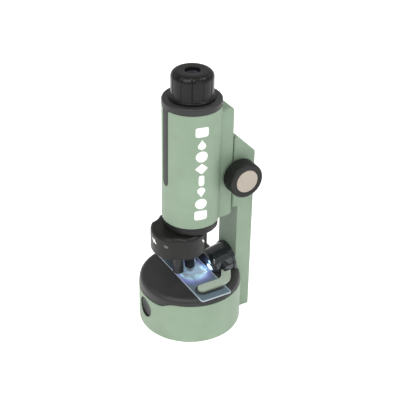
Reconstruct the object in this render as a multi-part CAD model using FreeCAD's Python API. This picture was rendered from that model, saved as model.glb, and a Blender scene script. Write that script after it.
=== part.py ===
import FreeCAD, Part

import math
import os

os.makedirs("parts", exist_ok=True)

# A child's microscope: a drum base with the stage and lamp, a square post behind it, and a
# tube that slides up and down the post's head. +Z is up, -Y is the user's side and +X is the
# user's right. The origin is on the optical axis, at the underside of the base.
# All sizes are millimetres.

# ---- clearances ----
seam = 0.15               # between fixed mouldings that meet
guide_gap = 0.2           # between flat sliding faces
free_gap = 0.3            # round parts that move past a neighbour
bearing_gap = 0.06        # radial, a shaft in its bearing
thread_gap = 0.05         # radial, a screw in its hole
past = 1.0                # how far a cutter, or a joined piece, runs past the face it meets
same = 0.01               # two places closer than this count as one

# ---- base drum ----
base_radius = 40.0
base_height = 34.2
base_wall = 2.4
base_edge = 1.2           # rounding at the foot of the drum
plate_thickness = 3.0
base_boss_radius = 4.4
base_boss_inset = 4.1     # from the drum's inner wall to the middle of a screw boss
base_boss_height = 18.0
base_boss_angles = (60.0, 120.0, 240.0, 300.0)
foot_radius = 3.5
foot_thickness = 1.2
foot_inset = 4.45         # from the plate's edge to the middle of a foot pad
foot_angles = (47.0, 133.0, 227.0, 313.0)

# ---- batteries ----
cell_length = 44.5
cell_radius = 5.25
cell_gap = 0.5
cell_count = 3
cell_nub_radius = 1.9
cell_nub_length = 0.9
cell_edge = 0.5
tray_end_gap = 1.2        # room at each end of the cells for the contacts
tray_side_gap = 0.4
tray_wall = 1.6
contact_thickness = 0.4
contact_inset = 0.6       # how much smaller a contact is than the end of its cell
contact_dimple_radius = 1.2
door_thickness = 2.0
door_ledge = 2.4          # how far the door overlaps the plate round the tray's mouth
door_tab_length = 6.0
door_tab_half_width = 5.0
door_corner = 1.0
door_boss_height = 8.9

# ---- lamp and its button ----
board_half_x = 15.0
board_half_y = 10.0
board_thickness = 1.6
board_screw_x = 11.0
board_corner = 1.0
led_room = 2.8            # between the lamp and the underside of the stage
led_radius = 2.5
led_height = 7.0
led_rim = 0.4
led_rim_height = 1.0
button_drop = 2.4         # between the button and the edge of the cap's skirt
button_radius = 8.0
button_recess = 1.4       # how far the button's face lies inside the drum's surface
button_travel = 1.2
button_flange = 1.2
button_flange_thickness = 1.5
button_tunnel_wall = 1.9
button_tunnel_depth = 5.6
button_dish_radius = 30.0
button_dish_depth = 0.6
switch_half = 3.0
switch_depth = 3.5
switch_plunger_radius = 1.6
switch_plunger_length = 1.0

# ---- stage ----
cap_radius = 39.5
cap_thickness = 2.4
cap_lip_depth = 3.0
cap_edge = 4.5            # rounding round the top of the stage
stage_rise = 5.6          # the stage above the drum's green edge
skirt_drop = 4.7          # how far the cap reaches down the front of the drum
skirt_flat_x = 14.5       # half width of the lowered stretch
skirt_run = 14.0          # sideways run of each S-shaped end
window_radius = 6.5
window_lip = 1.2

# ---- specimen slide ----
slide_length = 76.0
slide_width = 26.0
slide_thickness = 1.2
slide_corner = 2.0
slide_x = 2.8             # centre of the slide at rest
slide_y = 0.5
slide_lift = 0.1
cover_size = 18.0
cover_thickness = 0.16
specimen_radius = 3.0
specimen_thickness = 0.06
specimen_lift = 0.01      # glue between the slide, the specimen and the cover slip

# ---- post and head ----
post_half_width = 12.9
post_depth = 14.5
post_wall = 2.2
post_corner = 2.5
post_side_corner = 2.0
head_overhang = 4.4       # how far the head reaches forward of the post
head_gap = 0.6            # between the carriage's back and the head
head_lift = 6.5           # the head's underside above the carriage's
head_height = 63.0
head_slope_drop = 19.0    # how far the top slopes down to the back
guide_thickness = 2.4
post_screw_low = 22.0
post_screw_drop = 17.0    # the upper post screw below the head
head_screw_lift = 11.0    # the lower head screw above the head's underside
post_foot_screw_z = 20.0
post_foot_boss_length = 8.0

# ---- cowl behind the stage: a half round that climbs towards the post ----
cowl_overlap = 1.6        # how far the cowl stands out beside the post
cowl_slide_gap = 1.0
cowl_nose_rise = 11.5     # its crown above the stage, at the nose and at the post
cowl_back_rise = 15.3
cowl_nose_edge = 4.0
cowl_rim = 0.9            # the rim against the post stands out this far
cowl_rim_length = 1.8
cowl_wall = 2.0
cowl_screw_inset = 7.0
cowl_screw_setback = 5.0

# ---- stage clips: a finger that bends round to a hub on the cowl's side ----
clip_pivot_rise = 4.8
clip_hub_radius = 3.2
clip_hub_length = 3.4
clip_pin_radius = 1.6
clip_pin_length = 5.5
clip_width = 7.4
clip_thickness = 2.0
clip_reach = 13.3         # from the cowl's side to the middle of the finger
clip_bend_y = 10.0
clip_bend_radius = 11.0
clip_bend_angle = 60.0
clip_tip_y = -8.5
clip_rest_gap = 0.12

# ---- tube ----
tube_radius = 22.0
tube_wall = 2.0
tube_lift = 52.7          # the tube's lower end above the stage
tube_length = 93.9
tube_edge = 1.0
inner_tube_wall = 1.6
stripe_recess = 0.4       # the inner tube's rib lies this far inside the tube's surface
stripe_half_width = 3.85
stripe_lift = 31.5        # the stripe's rounded end above the tube's lower end
stripe_corner = 1.5
collar_height = 5.2
collar_edge = 1.6
collar_spigot = 6.0
collar_spigot_wall = 2.5
collar_seat_depth = 0.6

# ---- carriage on the back of the tube ----
carriage_depth = 6.7      # how far the block stands out behind the tube
carriage_drop = 2.0       # the block's underside below the tube's
carriage_length = 91.0
carriage_corner = 2.5
carriage_side_corner = 2.0
focus_down = 2.2
focus_up = 14.0
rail_inset = 4.3          # from the post's side to the middle of a T rail
rail_neck = 1.8
rail_head = 4.2
rail_head_thickness = 1.3
rail_neck_length = 2.0    # neck inside the carriage
rail_lift = 4.0
rail_length = 54.0

# ---- rack and pinion ----
knob_setback = 3.1        # the focus shaft behind the head's front
knob_lift = 29.0          # the focus shaft above the head's underside
gear_module = 0.8
gear_teeth = 15
gear_addendum = 0.64
gear_dedendum = 0.9
gear_backlash = 0.12
gear_half_width = 2.6
pressure_angle = 20.0
flank_steps = 6
rack_half_width = 3.2
rack_back_thickness = 2.1
rack_spare_teeth = 1      # teeth beyond the travel at each end
shaft_radius = 2.0

# ---- focus knobs ----
knob_radius = 13.75
knob_gap = 1.85           # between the post's side and the knob
knob_thickness = 12.25
knob_edge = 1.4
knob_hub_radius = 5.5
knob_washer_thickness = 0.8
knob_cap_radius = 9.0
knob_cap_depth = 1.4
knob_cap_stand = 0.2      # how far the disc stands proud of the knob
knob_cap_edge = 0.5
knob_shaft_depth = 8.0

# ---- nosepiece and turret ----
nosepiece_inset = 1.2     # how much smaller it is than the tube
nosepiece_height = 6.5
nosepiece_spigot = 4.5
nosepiece_edge = 0.8
light_hole_radius = 4.0
tube_lens_lap = 2.0       # how far the lens reaches past the light hole
tube_lens_thickness = 1.6
turret_y = -10.3
turret_radius = 21.6
turret_height = 18.9
turret_top_edge = 3.0
turret_bottom_edge = 1.6
turret_lobes = 3
scallop_radius = 15.0
scallop_depth = 1.7
turret_screw_radius = 2.0
turret_screw_head_radius = 4.4
turret_screw_head_height = 2.4
turret_screw_head_edge = 0.8
turret_screw_slot = 0.5   # half width of its slot
turret_screw_end = 1.5    # the screw's end below the tube

# ---- objectives: name, turret angle from the front, the tip's height above the stage ----
objective_radius = 4.2
objective_collar_radius = 4.9
objective_collar_height = 1.6
objective_collar_chamfer = 0.4
objective_spigot_radius = 3.7
objective_spigot_length = 6.0
objective_bore_radius = 2.6
objective_tip_chamfer = 0.8
objective_lens_radius = 2.4
objective_lens_thickness = 1.2
objective_lens_recess = 0.5
objective_lens_lip = 0.4
objective_list = (
    ("long", 180.0, 4.5),
    ("medium", 60.0, 10.2),
    ("short", 300.0, 14.7),
)

# ---- eyepiece ----
eyepiece_radius = 15.7
eyepiece_height = 20.3
eyepiece_flange_radius = 17.0
eyepiece_flange_thickness = 1.8
eyepiece_flange_edge = 0.6
eyepiece_edge = 4.8
eyepiece_grooves = 12
eyepiece_groove_radius = 1.5
eyepiece_groove_depth = 0.8
eyepiece_recess_radius = 5.6
eyepiece_recess_depth = 2.6
eyepiece_barrel_radius = 11.5
eyepiece_barrel_length = 15.0
eyepiece_barrel_wall = 1.8
eyepiece_lip = 1.4
eyepiece_lip_thickness = 1.6
eyepiece_lens_thickness = 2.4
eyepiece_lens_lap = 1.0   # each step in the bore behind the recess
eyepiece_web = 2.0        # between the lens seat and the barrel's bore
field_lens_inset = 1.0

# ---- screws ----
screw_radius = 1.25
screw_head_radius = 2.4
screw_head_height = 1.4
screw_head_sink = 0.4     # depth of the head below the surface it goes into
screw_boss_wall = 1.9
base_screw_length = 12.0
door_screw_length = 7.0
board_screw_length = 6.0
cowl_screw_length = 8.0
rear_screw_length = 9.0
post_foot_screw_length = 10.0

# ---- sizes that follow ----
cavity_radius = base_radius - base_wall
cap_bottom = base_height + seam
skirt_bottom = base_height - skirt_drop
stage_height = base_height + stage_rise
plate_radius = cavity_radius - seam
base_boss_circle = cavity_radius - base_boss_inset
foot_circle = plate_radius - foot_inset
cell_pitch = 2 * cell_radius + cell_gap
tray_half_x = cell_length / 2 + tray_end_gap
tray_half_y = ((cell_count - 1) * cell_pitch) / 2 + cell_radius + tray_side_gap
tray_height = 2 * cell_radius + 2 * tray_side_gap
tray_floor = door_thickness + seam
tray_roof = tray_floor + tray_height
door_half_x = tray_half_x + door_ledge
door_half_y = tray_half_y + door_ledge
board_z = stage_height - cap_thickness - led_room - led_height - board_thickness
button_z = skirt_bottom - button_drop - button_radius
slide_bottom = stage_height + slide_lift
slide_top = slide_bottom + slide_thickness
tube_bottom = stage_height + tube_lift
tube_top = tube_bottom + tube_length
tube_bore = tube_radius - tube_wall
inner_tube_radius = tube_bore - free_gap
inner_tube_bore = inner_tube_radius - inner_tube_wall
stripe_bottom = tube_bottom + stripe_lift
collar_bottom = tube_top + seam
collar_top = collar_bottom + collar_height
carriage_back = tube_radius + carriage_depth
carriage_bottom = tube_bottom - carriage_drop
carriage_top = carriage_bottom + carriage_length
head_front = carriage_back + head_gap
head_bottom = carriage_bottom + head_lift
head_top = head_bottom + head_height
head_back_top = head_top - head_slope_drop
post_front = head_front + head_overhang
post_back = post_front + post_depth
notch_half_width = post_half_width + seam
notch_front = post_front - seam
boss_radius = screw_radius + screw_boss_wall
boss_end = post_back - post_wall - seam
post_foot_screw_x = post_half_width - post_wall - boss_radius - 3 * seam
rail_x = post_half_width - rail_inset
rail_bottom = head_bottom + rail_lift
rail_top = rail_bottom + rail_length
knob_y = head_front + knob_setback
knob_z = head_bottom + knob_lift
knob_inner_x = post_half_width + knob_gap
knob_outer_x = knob_inner_x + knob_thickness
pitch_radius = gear_module * gear_teeth / 2
tooth_pitch = math.pi * gear_module
rack_pitch_y = knob_y - pitch_radius
rack_back_y = rack_pitch_y - gear_dedendum - rack_back_thickness
nosepiece_radius = tube_radius - nosepiece_inset
nosepiece_bottom = tube_bottom - nosepiece_height
turret_top = nosepiece_bottom - free_gap
turret_bottom = turret_top - turret_height
objective_circle = -turret_y
eyepiece_bottom = collar_top + seam
eyepiece_top = eyepiece_bottom + eyepiece_height
cowl_half_width = post_half_width + cowl_overlap
cowl_front = slide_y + slide_width / 2 + cowl_slide_gap
cowl_nose_height = stage_height + cowl_nose_rise
cowl_back_height = stage_height + cowl_back_rise
cowl_screw_x = cowl_half_width - cowl_screw_inset
cowl_screw_y = cowl_front + cowl_screw_setback
clip_hub_x = cowl_half_width + free_gap
clip_bend_x = cowl_half_width + clip_reach
clip_turn = math.radians(clip_bend_angle)
clip_bend_centre = clip_bend_x - clip_bend_radius
clip_arm_x = clip_bend_centre + clip_bend_radius * math.cos(clip_turn)
clip_arm_y = clip_bend_y + clip_bend_radius * math.sin(clip_turn)
clip_pivot_y = clip_arm_y + (clip_arm_x - clip_hub_x) / math.tan(clip_turn)
clip_pivot_z = stage_height + clip_pivot_rise


def point(x, y, z):
    return FreeCAD.Vector(x, y, z)


X_AXIS = point(1, 0, 0)
Y_AXIS = point(0, 1, 0)
Z_AXIS = point(0, 0, 1)


def post_z(radius, z0, z1, x=0.0, y=0.0):
    """Upright cylinder from z0 to z1."""
    return Part.makeCylinder(radius, z1 - z0, point(x, y, z0), Z_AXIS)


def bar_x(radius, x0, x1, y, z):
    """Cylinder along X from x0 to x1."""
    return Part.makeCylinder(radius, x1 - x0, point(x0, y, z), X_AXIS)


def bar_y(radius, y0, y1, x, z):
    """Cylinder along Y from y0 to y1."""
    return Part.makeCylinder(radius, y1 - y0, point(x, y0, z), Y_AXIS)


def block(x0, x1, y0, y1, z0, z1):
    """Box between two corners."""
    return Part.makeBox(x1 - x0, y1 - y0, z1 - z0, point(x0, y0, z0))


def ring_z(outer, inner, z0, z1, x=0.0, y=0.0):
    """Upright ring from z0 to z1."""
    return post_z(outer, z0, z1, x, y).cut(post_z(inner, z0, z1, x, y))


def union(shapes):
    """One solid from overlapping solids."""
    shapes = list(shapes)
    if len(shapes) == 1:
        return shapes[0]
    return shapes[0].multiFuse(shapes[1:]).removeSplitter()


def cut_all(shape, tools):
    """Take every tool out of the shape."""
    return shape.cut(Part.makeCompound(list(tools)))


def prism_x(corners, x0, x1):
    """Extrude a closed outline of (y, z) corners from x0 to x1."""
    points = [point(x0, y, z) for y, z in corners]
    outline = Part.makePolygon(points + points[:1])
    return Part.Face(outline).extrude(point(x1 - x0, 0, 0))


def prism_z(corners, z0, z1):
    """Extrude a closed outline of (x, y) corners from z0 to z1."""
    points = [point(x, y, z0) for x, y in corners]
    outline = Part.makePolygon(points + points[:1])
    return Part.Face(outline).extrude(point(0, 0, z1 - z0))


def round_edges(shape, radius, wanted):
    """Fillet the edges for which wanted(edge) is true."""
    edges = [edge for edge in shape.Edges if wanted(edge)]
    return shape.makeFillet(radius, edges)


def bevel_edges(shape, size, wanted):
    """Chamfer the edges for which wanted(edge) is true."""
    edges = [edge for edge in shape.Edges if wanted(edge)]
    return shape.makeChamfer(size, edges)


def circle_at(z, radius):
    """Picks the round edges of one radius that lie at one height."""
    def wanted(edge):
        curve = edge.Curve
        if not isinstance(curve, Part.Circle):
            return False
        return abs(curve.Center.z - z) < same and abs(curve.Radius - radius) < same
    return wanted


def runs_along(axis):
    """Picks the straight edges that run along one axis."""
    def wanted(edge):
        if not isinstance(edge.Curve, (Part.Line, Part.LineSegment)):
            return False
        return abs(abs(edge.tangentAt(edge.FirstParameter).dot(axis)) - 1) < 0.001
    return wanted


def on_circle(radius, angle):
    """The (x, y) of a place on a circle round the axis."""
    turn = math.radians(angle)
    return radius * math.cos(turn), radius * math.sin(turn)


def on_turret(radius, angle):
    """The (x, y) of a place on the turret, with the angle counted from its front."""
    turn = math.radians(angle)
    return radius * math.sin(turn), turret_y - radius * math.cos(turn)


def mirrored(shape):
    """The same piece on the other side of the YZ plane."""
    return shape.mirror(point(0, 0, 0), X_AXIS)


def screw(place, direction, length):
    """A pan head screw: place is the outer face of its head, direction points into the work."""
    head = Part.makeCylinder(screw_head_radius, screw_head_height, place, direction)
    shank = Part.makeCylinder(screw_radius, length, place, direction)
    return union([head, shank])


def screw_room(place, direction, length, back=1.0):
    """The hole that a screw goes into, with its counterbore open backwards."""
    start = place - direction * back
    head = Part.makeCylinder(screw_head_radius + free_gap, screw_head_height + back, start, direction)
    shank = Part.makeCylinder(screw_radius + thread_gap, length, place, direction)
    return union([head, shank])


def save(name, shape):
    """Write one sub-part after checking that its solids are sound."""
    if not shape.isValid():
        raise ValueError("bad solid in " + name)
    solids = shape.Solids
    if not solids or min(solid.Volume for solid in solids) <= 0:
        raise ValueError("empty solid in " + name)
    if len(solids) == 1:
        shape = solids[0]
    shape.exportStep("parts/" + name + ".step")
    print(name, len(solids), round(shape.Volume, 1))


def slope_at(y):
    """Height of the head's sloping top."""
    rise = head_top - head_back_top
    run = post_back - head_front
    return head_top - (y - head_front) * rise / run


def slope_drop():
    """How far the wall's thickness lowers the inside of the sloping top, straight down."""
    rise = head_top - head_back_top
    run = post_back - head_front
    return post_wall * math.hypot(rise, run) / run


# ---- places of the screws ----
down = point(0, 0, -1)
up = point(0, 0, 1)
forward = point(0, -1, 0)
back = point(0, 1, 0)

head_screw_high = slope_at(boss_end) - slope_drop() - boss_radius - 5 * seam
head_screw_heights = (head_bottom + head_screw_lift, head_screw_high)
post_screw_heights = (post_screw_low, head_bottom - post_screw_drop)
base_screw_spots = [on_circle(base_boss_circle, angle) for angle in base_boss_angles]
base_screws = [(point(x, y, screw_head_sink), up, base_screw_length) for x, y in base_screw_spots]
door_screw_x = door_half_x + door_tab_length - boss_radius
door_screw = (point(door_screw_x, 0, screw_head_sink), up, door_screw_length)
board_screw_z = board_z + board_thickness + screw_head_height
board_screws = [
    (point(side * board_screw_x, 0, board_screw_z), down, board_screw_length)
    for side in (-1, 1)
]
cowl_screw_z = stage_height - cap_thickness - screw_head_height
cowl_screws = [
    (point(side * cowl_screw_x, cowl_screw_y, cowl_screw_z), up, cowl_screw_length)
    for side in (-1, 1)
]
rear_screws = [
    (point(0, post_back - screw_head_sink, z), forward, rear_screw_length)
    for z in post_screw_heights + head_screw_heights
]
foot_screw_y = notch_front - base_wall - screw_head_height
foot_screws = [
    (point(side * post_foot_screw_x, foot_screw_y, post_foot_screw_z), back, post_foot_screw_length)
    for side in (-1, 1)
]


def make_screws(spots):
    return Part.makeCompound([screw(*spot) for spot in spots])


def make_rooms(spots):
    return [screw_room(*spot) for spot in spots]


# ---- base ----
def front_dip(gap=0.0):
    """The space above the drum's front edge, where the cap reaches down."""
    low = skirt_bottom + gap
    high = base_height + gap
    middle = skirt_flat_x + skirt_run / 2
    end = skirt_flat_x + skirt_run
    y = -base_radius * 1.5

    def s_curve(side):
        curve = Part.BezierCurve()
        curve.setPoles([
            point(side * skirt_flat_x, y, low),
            point(side * middle, y, low),
            point(side * middle, y, high),
            point(side * end, y, high),
        ])
        return curve.toShape()

    top = stage_height
    edges = [
        Part.makeLine(point(-skirt_flat_x, y, low), point(skirt_flat_x, y, low)),
        s_curve(1),
        Part.makeLine(point(end, y, high), point(end, y, top)),
        Part.makeLine(point(end, y, top), point(-end, y, top)),
        Part.makeLine(point(-end, y, top), point(-end, y, high)),
        s_curve(-1),
    ]
    outline = Part.Wire(Part.__sortEdges__(edges))
    return Part.Face(outline).extrude(point(0, base_radius * 1.5, 0))


def make_base_shell():
    drum = post_z(base_radius, 0, base_height)
    drum = round_edges(drum, base_edge, circle_at(0, base_radius))
    notch = block(-notch_half_width, notch_half_width, notch_front, base_radius * 2,
                  -past, base_height + past)
    hollow = post_z(cavity_radius, -past, base_height + past)
    wall_half = notch_half_width + base_wall
    hollow = hollow.cut(block(-wall_half, wall_half, notch_front - base_wall, base_radius,
                              -2 * past, base_height + 2 * past))
    shell = drum.cut(hollow).cut(notch)
    bosses = []
    for x, y in base_screw_spots:
        bosses.append(post_z(base_boss_radius, plate_thickness + seam, base_boss_height, x, y))
    tunnel_radius = button_radius + free_gap + button_tunnel_wall
    tunnel = bar_y(tunnel_radius, -base_radius, -base_radius + button_tunnel_depth, 0, button_z)
    inside = post_z(base_radius - base_wall / 2, 0, base_height)
    extras = union([shell] + [piece.common(inside) for piece in bosses + [tunnel]])
    bore = bar_y(button_radius + free_gap, -base_radius - past,
                 -base_radius + button_tunnel_depth + past, 0, button_z)
    shell = cut_all(extras, [bore, front_dip(), notch])
    return cut_all(shell, make_rooms(base_screws) + make_rooms(foot_screws))


def make_base_plate():
    plate = post_z(plate_radius, 0, plate_thickness)
    wall_half = notch_half_width + base_wall + seam
    plate = plate.cut(block(-wall_half, wall_half, notch_front - base_wall - seam, base_radius,
                            -past, plate_thickness + past))
    tray_x = tray_half_x + tray_wall
    tray_y = tray_half_y + tray_wall
    tray = block(-tray_x, tray_x, -tray_y, tray_y, 0, tray_roof + tray_wall)
    shelf_front = switch_front_y() + button_travel
    shelf = block(-switch_half, switch_half, shelf_front, -tray_half_y, tray_roof, tray_roof + tray_wall)
    posts = [post_z(boss_radius, tray_roof, board_z, side * board_screw_x, 0) for side in (-1, 1)]
    door_boss = post_z(boss_radius, 0, door_boss_height, door_screw_x, 0)
    solid = union([plate, tray, shelf, door_boss] + posts)
    mouth = block(-tray_half_x, tray_half_x, -tray_half_y, tray_half_y, -past, tray_roof)
    rebates = door_outline(seam, -past, tray_floor)
    feet = [post_z(foot_radius + seam, -past, foot_thickness + seam, x, y) for x, y in foot_spots()]
    rooms = make_rooms(base_screws) + make_rooms([door_screw]) + make_rooms(board_screws)
    return cut_all(solid, [mouth] + rebates + feet + rooms)


def foot_spots():
    return [on_circle(foot_circle, angle) for angle in foot_angles]


def door_outline(gap, z0, z1):
    """The door's panel and its screw tab, as two overlapping blocks."""
    half_x = door_half_x + gap
    half_y = door_half_y + gap
    tab_end = door_half_x + door_tab_length + gap
    tab_half = door_tab_half_width + gap
    return [
        block(-half_x, half_x, -half_y, half_y, z0, z1),
        block(0, tab_end, -tab_half, tab_half, z0, z1),
    ]


def make_battery_door():
    door = union(door_outline(0, 0, door_thickness))

    def outer_corner(edge):
        box = edge.BoundBox
        at_side = abs(abs(box.YMin) - door_half_y) < same or box.XMin > door_half_x + past
        return runs_along(Z_AXIS)(edge) and at_side

    door = round_edges(door, door_corner, outer_corner)
    return door.cut(screw_room(*door_screw))


def make_foot_pads():
    return Part.makeCompound([post_z(foot_radius, 0, foot_thickness, x, y) for x, y in foot_spots()])


def cell_rows():
    return [(index - (cell_count - 1) / 2) * cell_pitch for index in range(cell_count)]


def cell_z():
    return tray_floor + tray_height / 2


def make_battery_cells():
    cells = []
    for index, y in enumerate(cell_rows()):
        half = cell_length / 2
        case = bar_x(cell_radius, -half, half - cell_nub_length, y, cell_z())
        case = round_edges(case, cell_edge, lambda edge: isinstance(edge.Curve, Part.Circle))
        nub = bar_x(cell_nub_radius, half - cell_nub_length - past, half, y, cell_z())
        cell = union([case, nub])
        if index % 2:
            cell = mirrored(cell)
        cells.append(cell)
    return Part.makeCompound(cells)


def make_battery_contacts():
    plates = []
    half = cell_radius - contact_inset
    for y in cell_rows():
        for side in (-1, 1):
            outer = side * (tray_half_x - seam)
            inner = outer - side * contact_thickness
            x0, x1 = sorted((outer, inner))
            plate = block(x0, x1, y - half, y + half, cell_z() - half, cell_z() + half)
            dimple_end = side * (cell_length / 2 + seam)
            d0, d1 = sorted((dimple_end, inner))
            dimple = bar_x(contact_dimple_radius, d0, d1, y, cell_z())
            plates.append(union([plate, dimple]))
    return Part.makeCompound(plates)


# ---- lamp ----
def make_circuit_board():
    board = block(-board_half_x, board_half_x, -board_half_y, board_half_y,
                  board_z, board_z + board_thickness)
    board = round_edges(board, board_corner, runs_along(Z_AXIS))
    return cut_all(board, make_rooms(board_screws))


def make_led():
    bottom = board_z + board_thickness
    rim = post_z(led_radius + led_rim, bottom, bottom + led_rim_height)
    bulb_top = bottom + led_height - led_radius
    stem = post_z(led_radius, bottom, bulb_top)
    dome = Part.makeSphere(led_radius, point(0, 0, bulb_top))
    return union([rim, stem, dome])


def button_flange_y():
    """Front of the button's retaining flange, behind its tunnel."""
    return -base_radius + button_tunnel_depth + seam


def switch_front_y():
    return button_flange_y() + button_flange_thickness + button_travel + seam


def make_lamp_button():
    face = -base_radius + button_recess
    back_y = button_flange_y() + button_flange_thickness
    body = bar_y(button_radius, face, back_y, 0, button_z)
    dish_y = face - button_dish_radius + button_dish_depth
    dish = Part.makeSphere(button_dish_radius, point(0, dish_y, button_z))
    body = body.cut(dish)
    flange = bar_y(button_radius + button_flange, button_flange_y(), back_y, 0, button_z)
    return union([body, flange])


def make_lamp_switch():
    front = switch_front_y()
    centre_z = tray_roof + tray_wall + seam + switch_half
    case_front = front + switch_plunger_length
    plunger = bar_y(switch_plunger_radius, front, case_front + past, 0, centre_z)
    case = block(-switch_half, switch_half, case_front, case_front + switch_depth,
                 centre_z - switch_half, centre_z + switch_half)
    return union([plunger, case])


# ---- stage ----
def make_stage_cap():
    body = post_z(cap_radius, cap_bottom, stage_height)
    body = round_edges(body, cap_edge, circle_at(stage_height, cap_radius))
    lip_outer = cavity_radius - seam
    lip_inner = lip_outer - cap_thickness
    lip = post_z(lip_outer, base_height - cap_lip_depth, cap_bottom + past)
    skirt = post_z(cap_radius, skirt_bottom, cap_bottom + past).common(front_dip(seam))
    cap = union([body, lip, skirt])
    hollow = post_z(lip_inner, skirt_bottom - 2, stage_height - cap_thickness)
    tunnel_top = button_z + button_radius + free_gap + button_tunnel_wall + seam
    tunnel_half = button_radius + button_tunnel_wall
    tunnel = block(-tunnel_half, tunnel_half, -base_radius, -base_radius + button_tunnel_depth + past,
                   0, tunnel_top)
    notch = block(-notch_half_width, notch_half_width, notch_front, base_radius * 2, 0, stage_height + past)
    wall_half = notch_half_width + base_wall + seam
    lip_notch = block(-wall_half, wall_half, notch_front - base_wall - seam, base_radius * 2, 0, cap_bottom)
    window = post_z(window_radius + seam, stage_height - window_lip, stage_height + past)
    light = post_z(window_radius - window_lip, stage_height - cap_thickness - past, stage_height)
    return cut_all(cap, [hollow, tunnel, notch, lip_notch, window, light] + make_rooms(cowl_screws))


def make_stage_window():
    return post_z(window_radius, stage_height - window_lip, stage_height)


def clip_pin_rooms():
    inner = clip_hub_x - free_gap - clip_pin_length - free_gap
    reach = cowl_half_width + past
    radius = clip_pin_radius + bearing_gap
    return [
        bar_x(radius, inner, reach, clip_pivot_y, clip_pivot_z),
        bar_x(radius, -reach, -inner, clip_pivot_y, clip_pivot_z),
    ]


def cowl_arch(inset, start, end):
    """The half round between two places along Y, with its radius reduced by the inset."""
    run = notch_front - cowl_front
    rise = cowl_back_rise - cowl_nose_rise
    slope = rise / run
    radius = cowl_half_width - inset
    centre = cowl_nose_height - cowl_half_width + slope * (start - cowl_front)
    crown = Part.Arc(
        point(radius, start, centre),
        point(0, start, centre + radius),
        point(-radius, start, centre),
    )
    low = centre - radius
    edges = [
        crown.toShape(),
        Part.makeLine(point(-radius, start, centre), point(-radius, start, low)),
        Part.makeLine(point(-radius, start, low), point(radius, start, low)),
        Part.makeLine(point(radius, start, low), point(radius, start, centre)),
    ]
    face = Part.Face(Part.Wire(edges))
    arch = face.extrude(point(0, end - start, slope * (end - start)))
    floor = stage_height + seam
    return arch.common(block(-base_radius, base_radius, 0, base_radius, floor, floor + base_radius))


def make_cowl():
    outside = cowl_arch(0, cowl_front, notch_front)

    def on_nose(edge):
        box = edge.BoundBox
        return box.YMax < cowl_front + same and box.ZMax > stage_height + past

    outside = round_edges(outside, cowl_nose_edge, on_nose)
    rim = cowl_arch(-cowl_rim, notch_front - cowl_rim_length, notch_front)
    hollow = cowl_arch(cowl_wall, cowl_front + cowl_wall, notch_front - cowl_wall)
    cowl = union([outside, rim]).cut(hollow)
    bosses = []
    for side in (-1, 1):
        boss = post_z(boss_radius, stage_height + seam, cowl_back_height, side * cowl_screw_x, cowl_screw_y)
        bosses.append(boss.common(outside))
        pivot_low, pivot_high = sorted((0, side * cowl_half_width))
        pivot = bar_x(clip_hub_radius, pivot_low, pivot_high, clip_pivot_y, clip_pivot_z)
        bosses.append(pivot.cut(hollow))
    cowl = union([cowl] + bosses)
    return cut_all(cowl, clip_pin_rooms() + make_rooms(cowl_screws))


# ---- clips and slide ----
def make_clip():
    half = clip_width / 2
    low = slide_top + clip_rest_gap
    high = low + clip_thickness
    finger = block(clip_bend_x - half, clip_bend_x + half, clip_tip_y + half, clip_bend_y, low, high)
    tip = post_z(half, low, high, clip_bend_x, clip_tip_y + half)
    bend = ring_z(clip_bend_radius + half, clip_bend_radius - half, low, high, clip_bend_centre, clip_bend_y)
    far = 4 * clip_bend_radius
    across_x = math.cos(clip_turn)
    across_y = math.sin(clip_turn)
    bend = bend.common(prism_z([
        (clip_bend_centre, clip_bend_y),
        (clip_bend_centre + far, clip_bend_y),
        (clip_bend_centre + far * across_x, clip_bend_y + far * across_y),
    ], low, high))
    arm = prism_z([
        (clip_arm_x + half * across_x, clip_arm_y + half * across_y),
        (clip_arm_x + half * across_x - far * across_y, clip_arm_y + half * across_y + far * across_x),
        (clip_arm_x - half * across_x - far * across_y, clip_arm_y - half * across_y + far * across_x),
        (clip_arm_x - half * across_x, clip_arm_y - half * across_y),
    ], low, high)
    arm = arm.common(block(clip_hub_x, base_radius, 0, base_radius, low, high))
    hub = bar_x(clip_hub_radius, clip_hub_x, clip_hub_x + clip_hub_length, clip_pivot_y, clip_pivot_z)
    pin = bar_x(clip_pin_radius, clip_hub_x - free_gap - clip_pin_length, clip_hub_x + past,
                clip_pivot_y, clip_pivot_z)
    return union([finger, tip, bend, arm, hub, pin])


def make_specimen_slide():
    half = slide_length / 2
    glass = block(slide_x - half, slide_x + half, slide_y - slide_width / 2, slide_y + slide_width / 2,
                  slide_bottom, slide_top)
    return round_edges(glass, slide_corner, runs_along(Z_AXIS))


def make_cover_slip():
    half = cover_size / 2
    bottom = slide_top + specimen_lift + specimen_thickness + specimen_lift
    return block(-half, half, slide_y - half, slide_y + half, bottom, bottom + cover_thickness)


def make_specimen():
    bottom = slide_top + specimen_lift
    return post_z(specimen_radius, bottom, bottom + specimen_thickness, 0, slide_y)


# ---- post and head ----
def post_outline():
    return [
        (post_front, 0),
        (post_back, 0),
        (post_back, head_back_top),
        (head_front, head_top),
        (head_front, head_bottom),
        (post_front, head_bottom),
    ]


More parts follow.
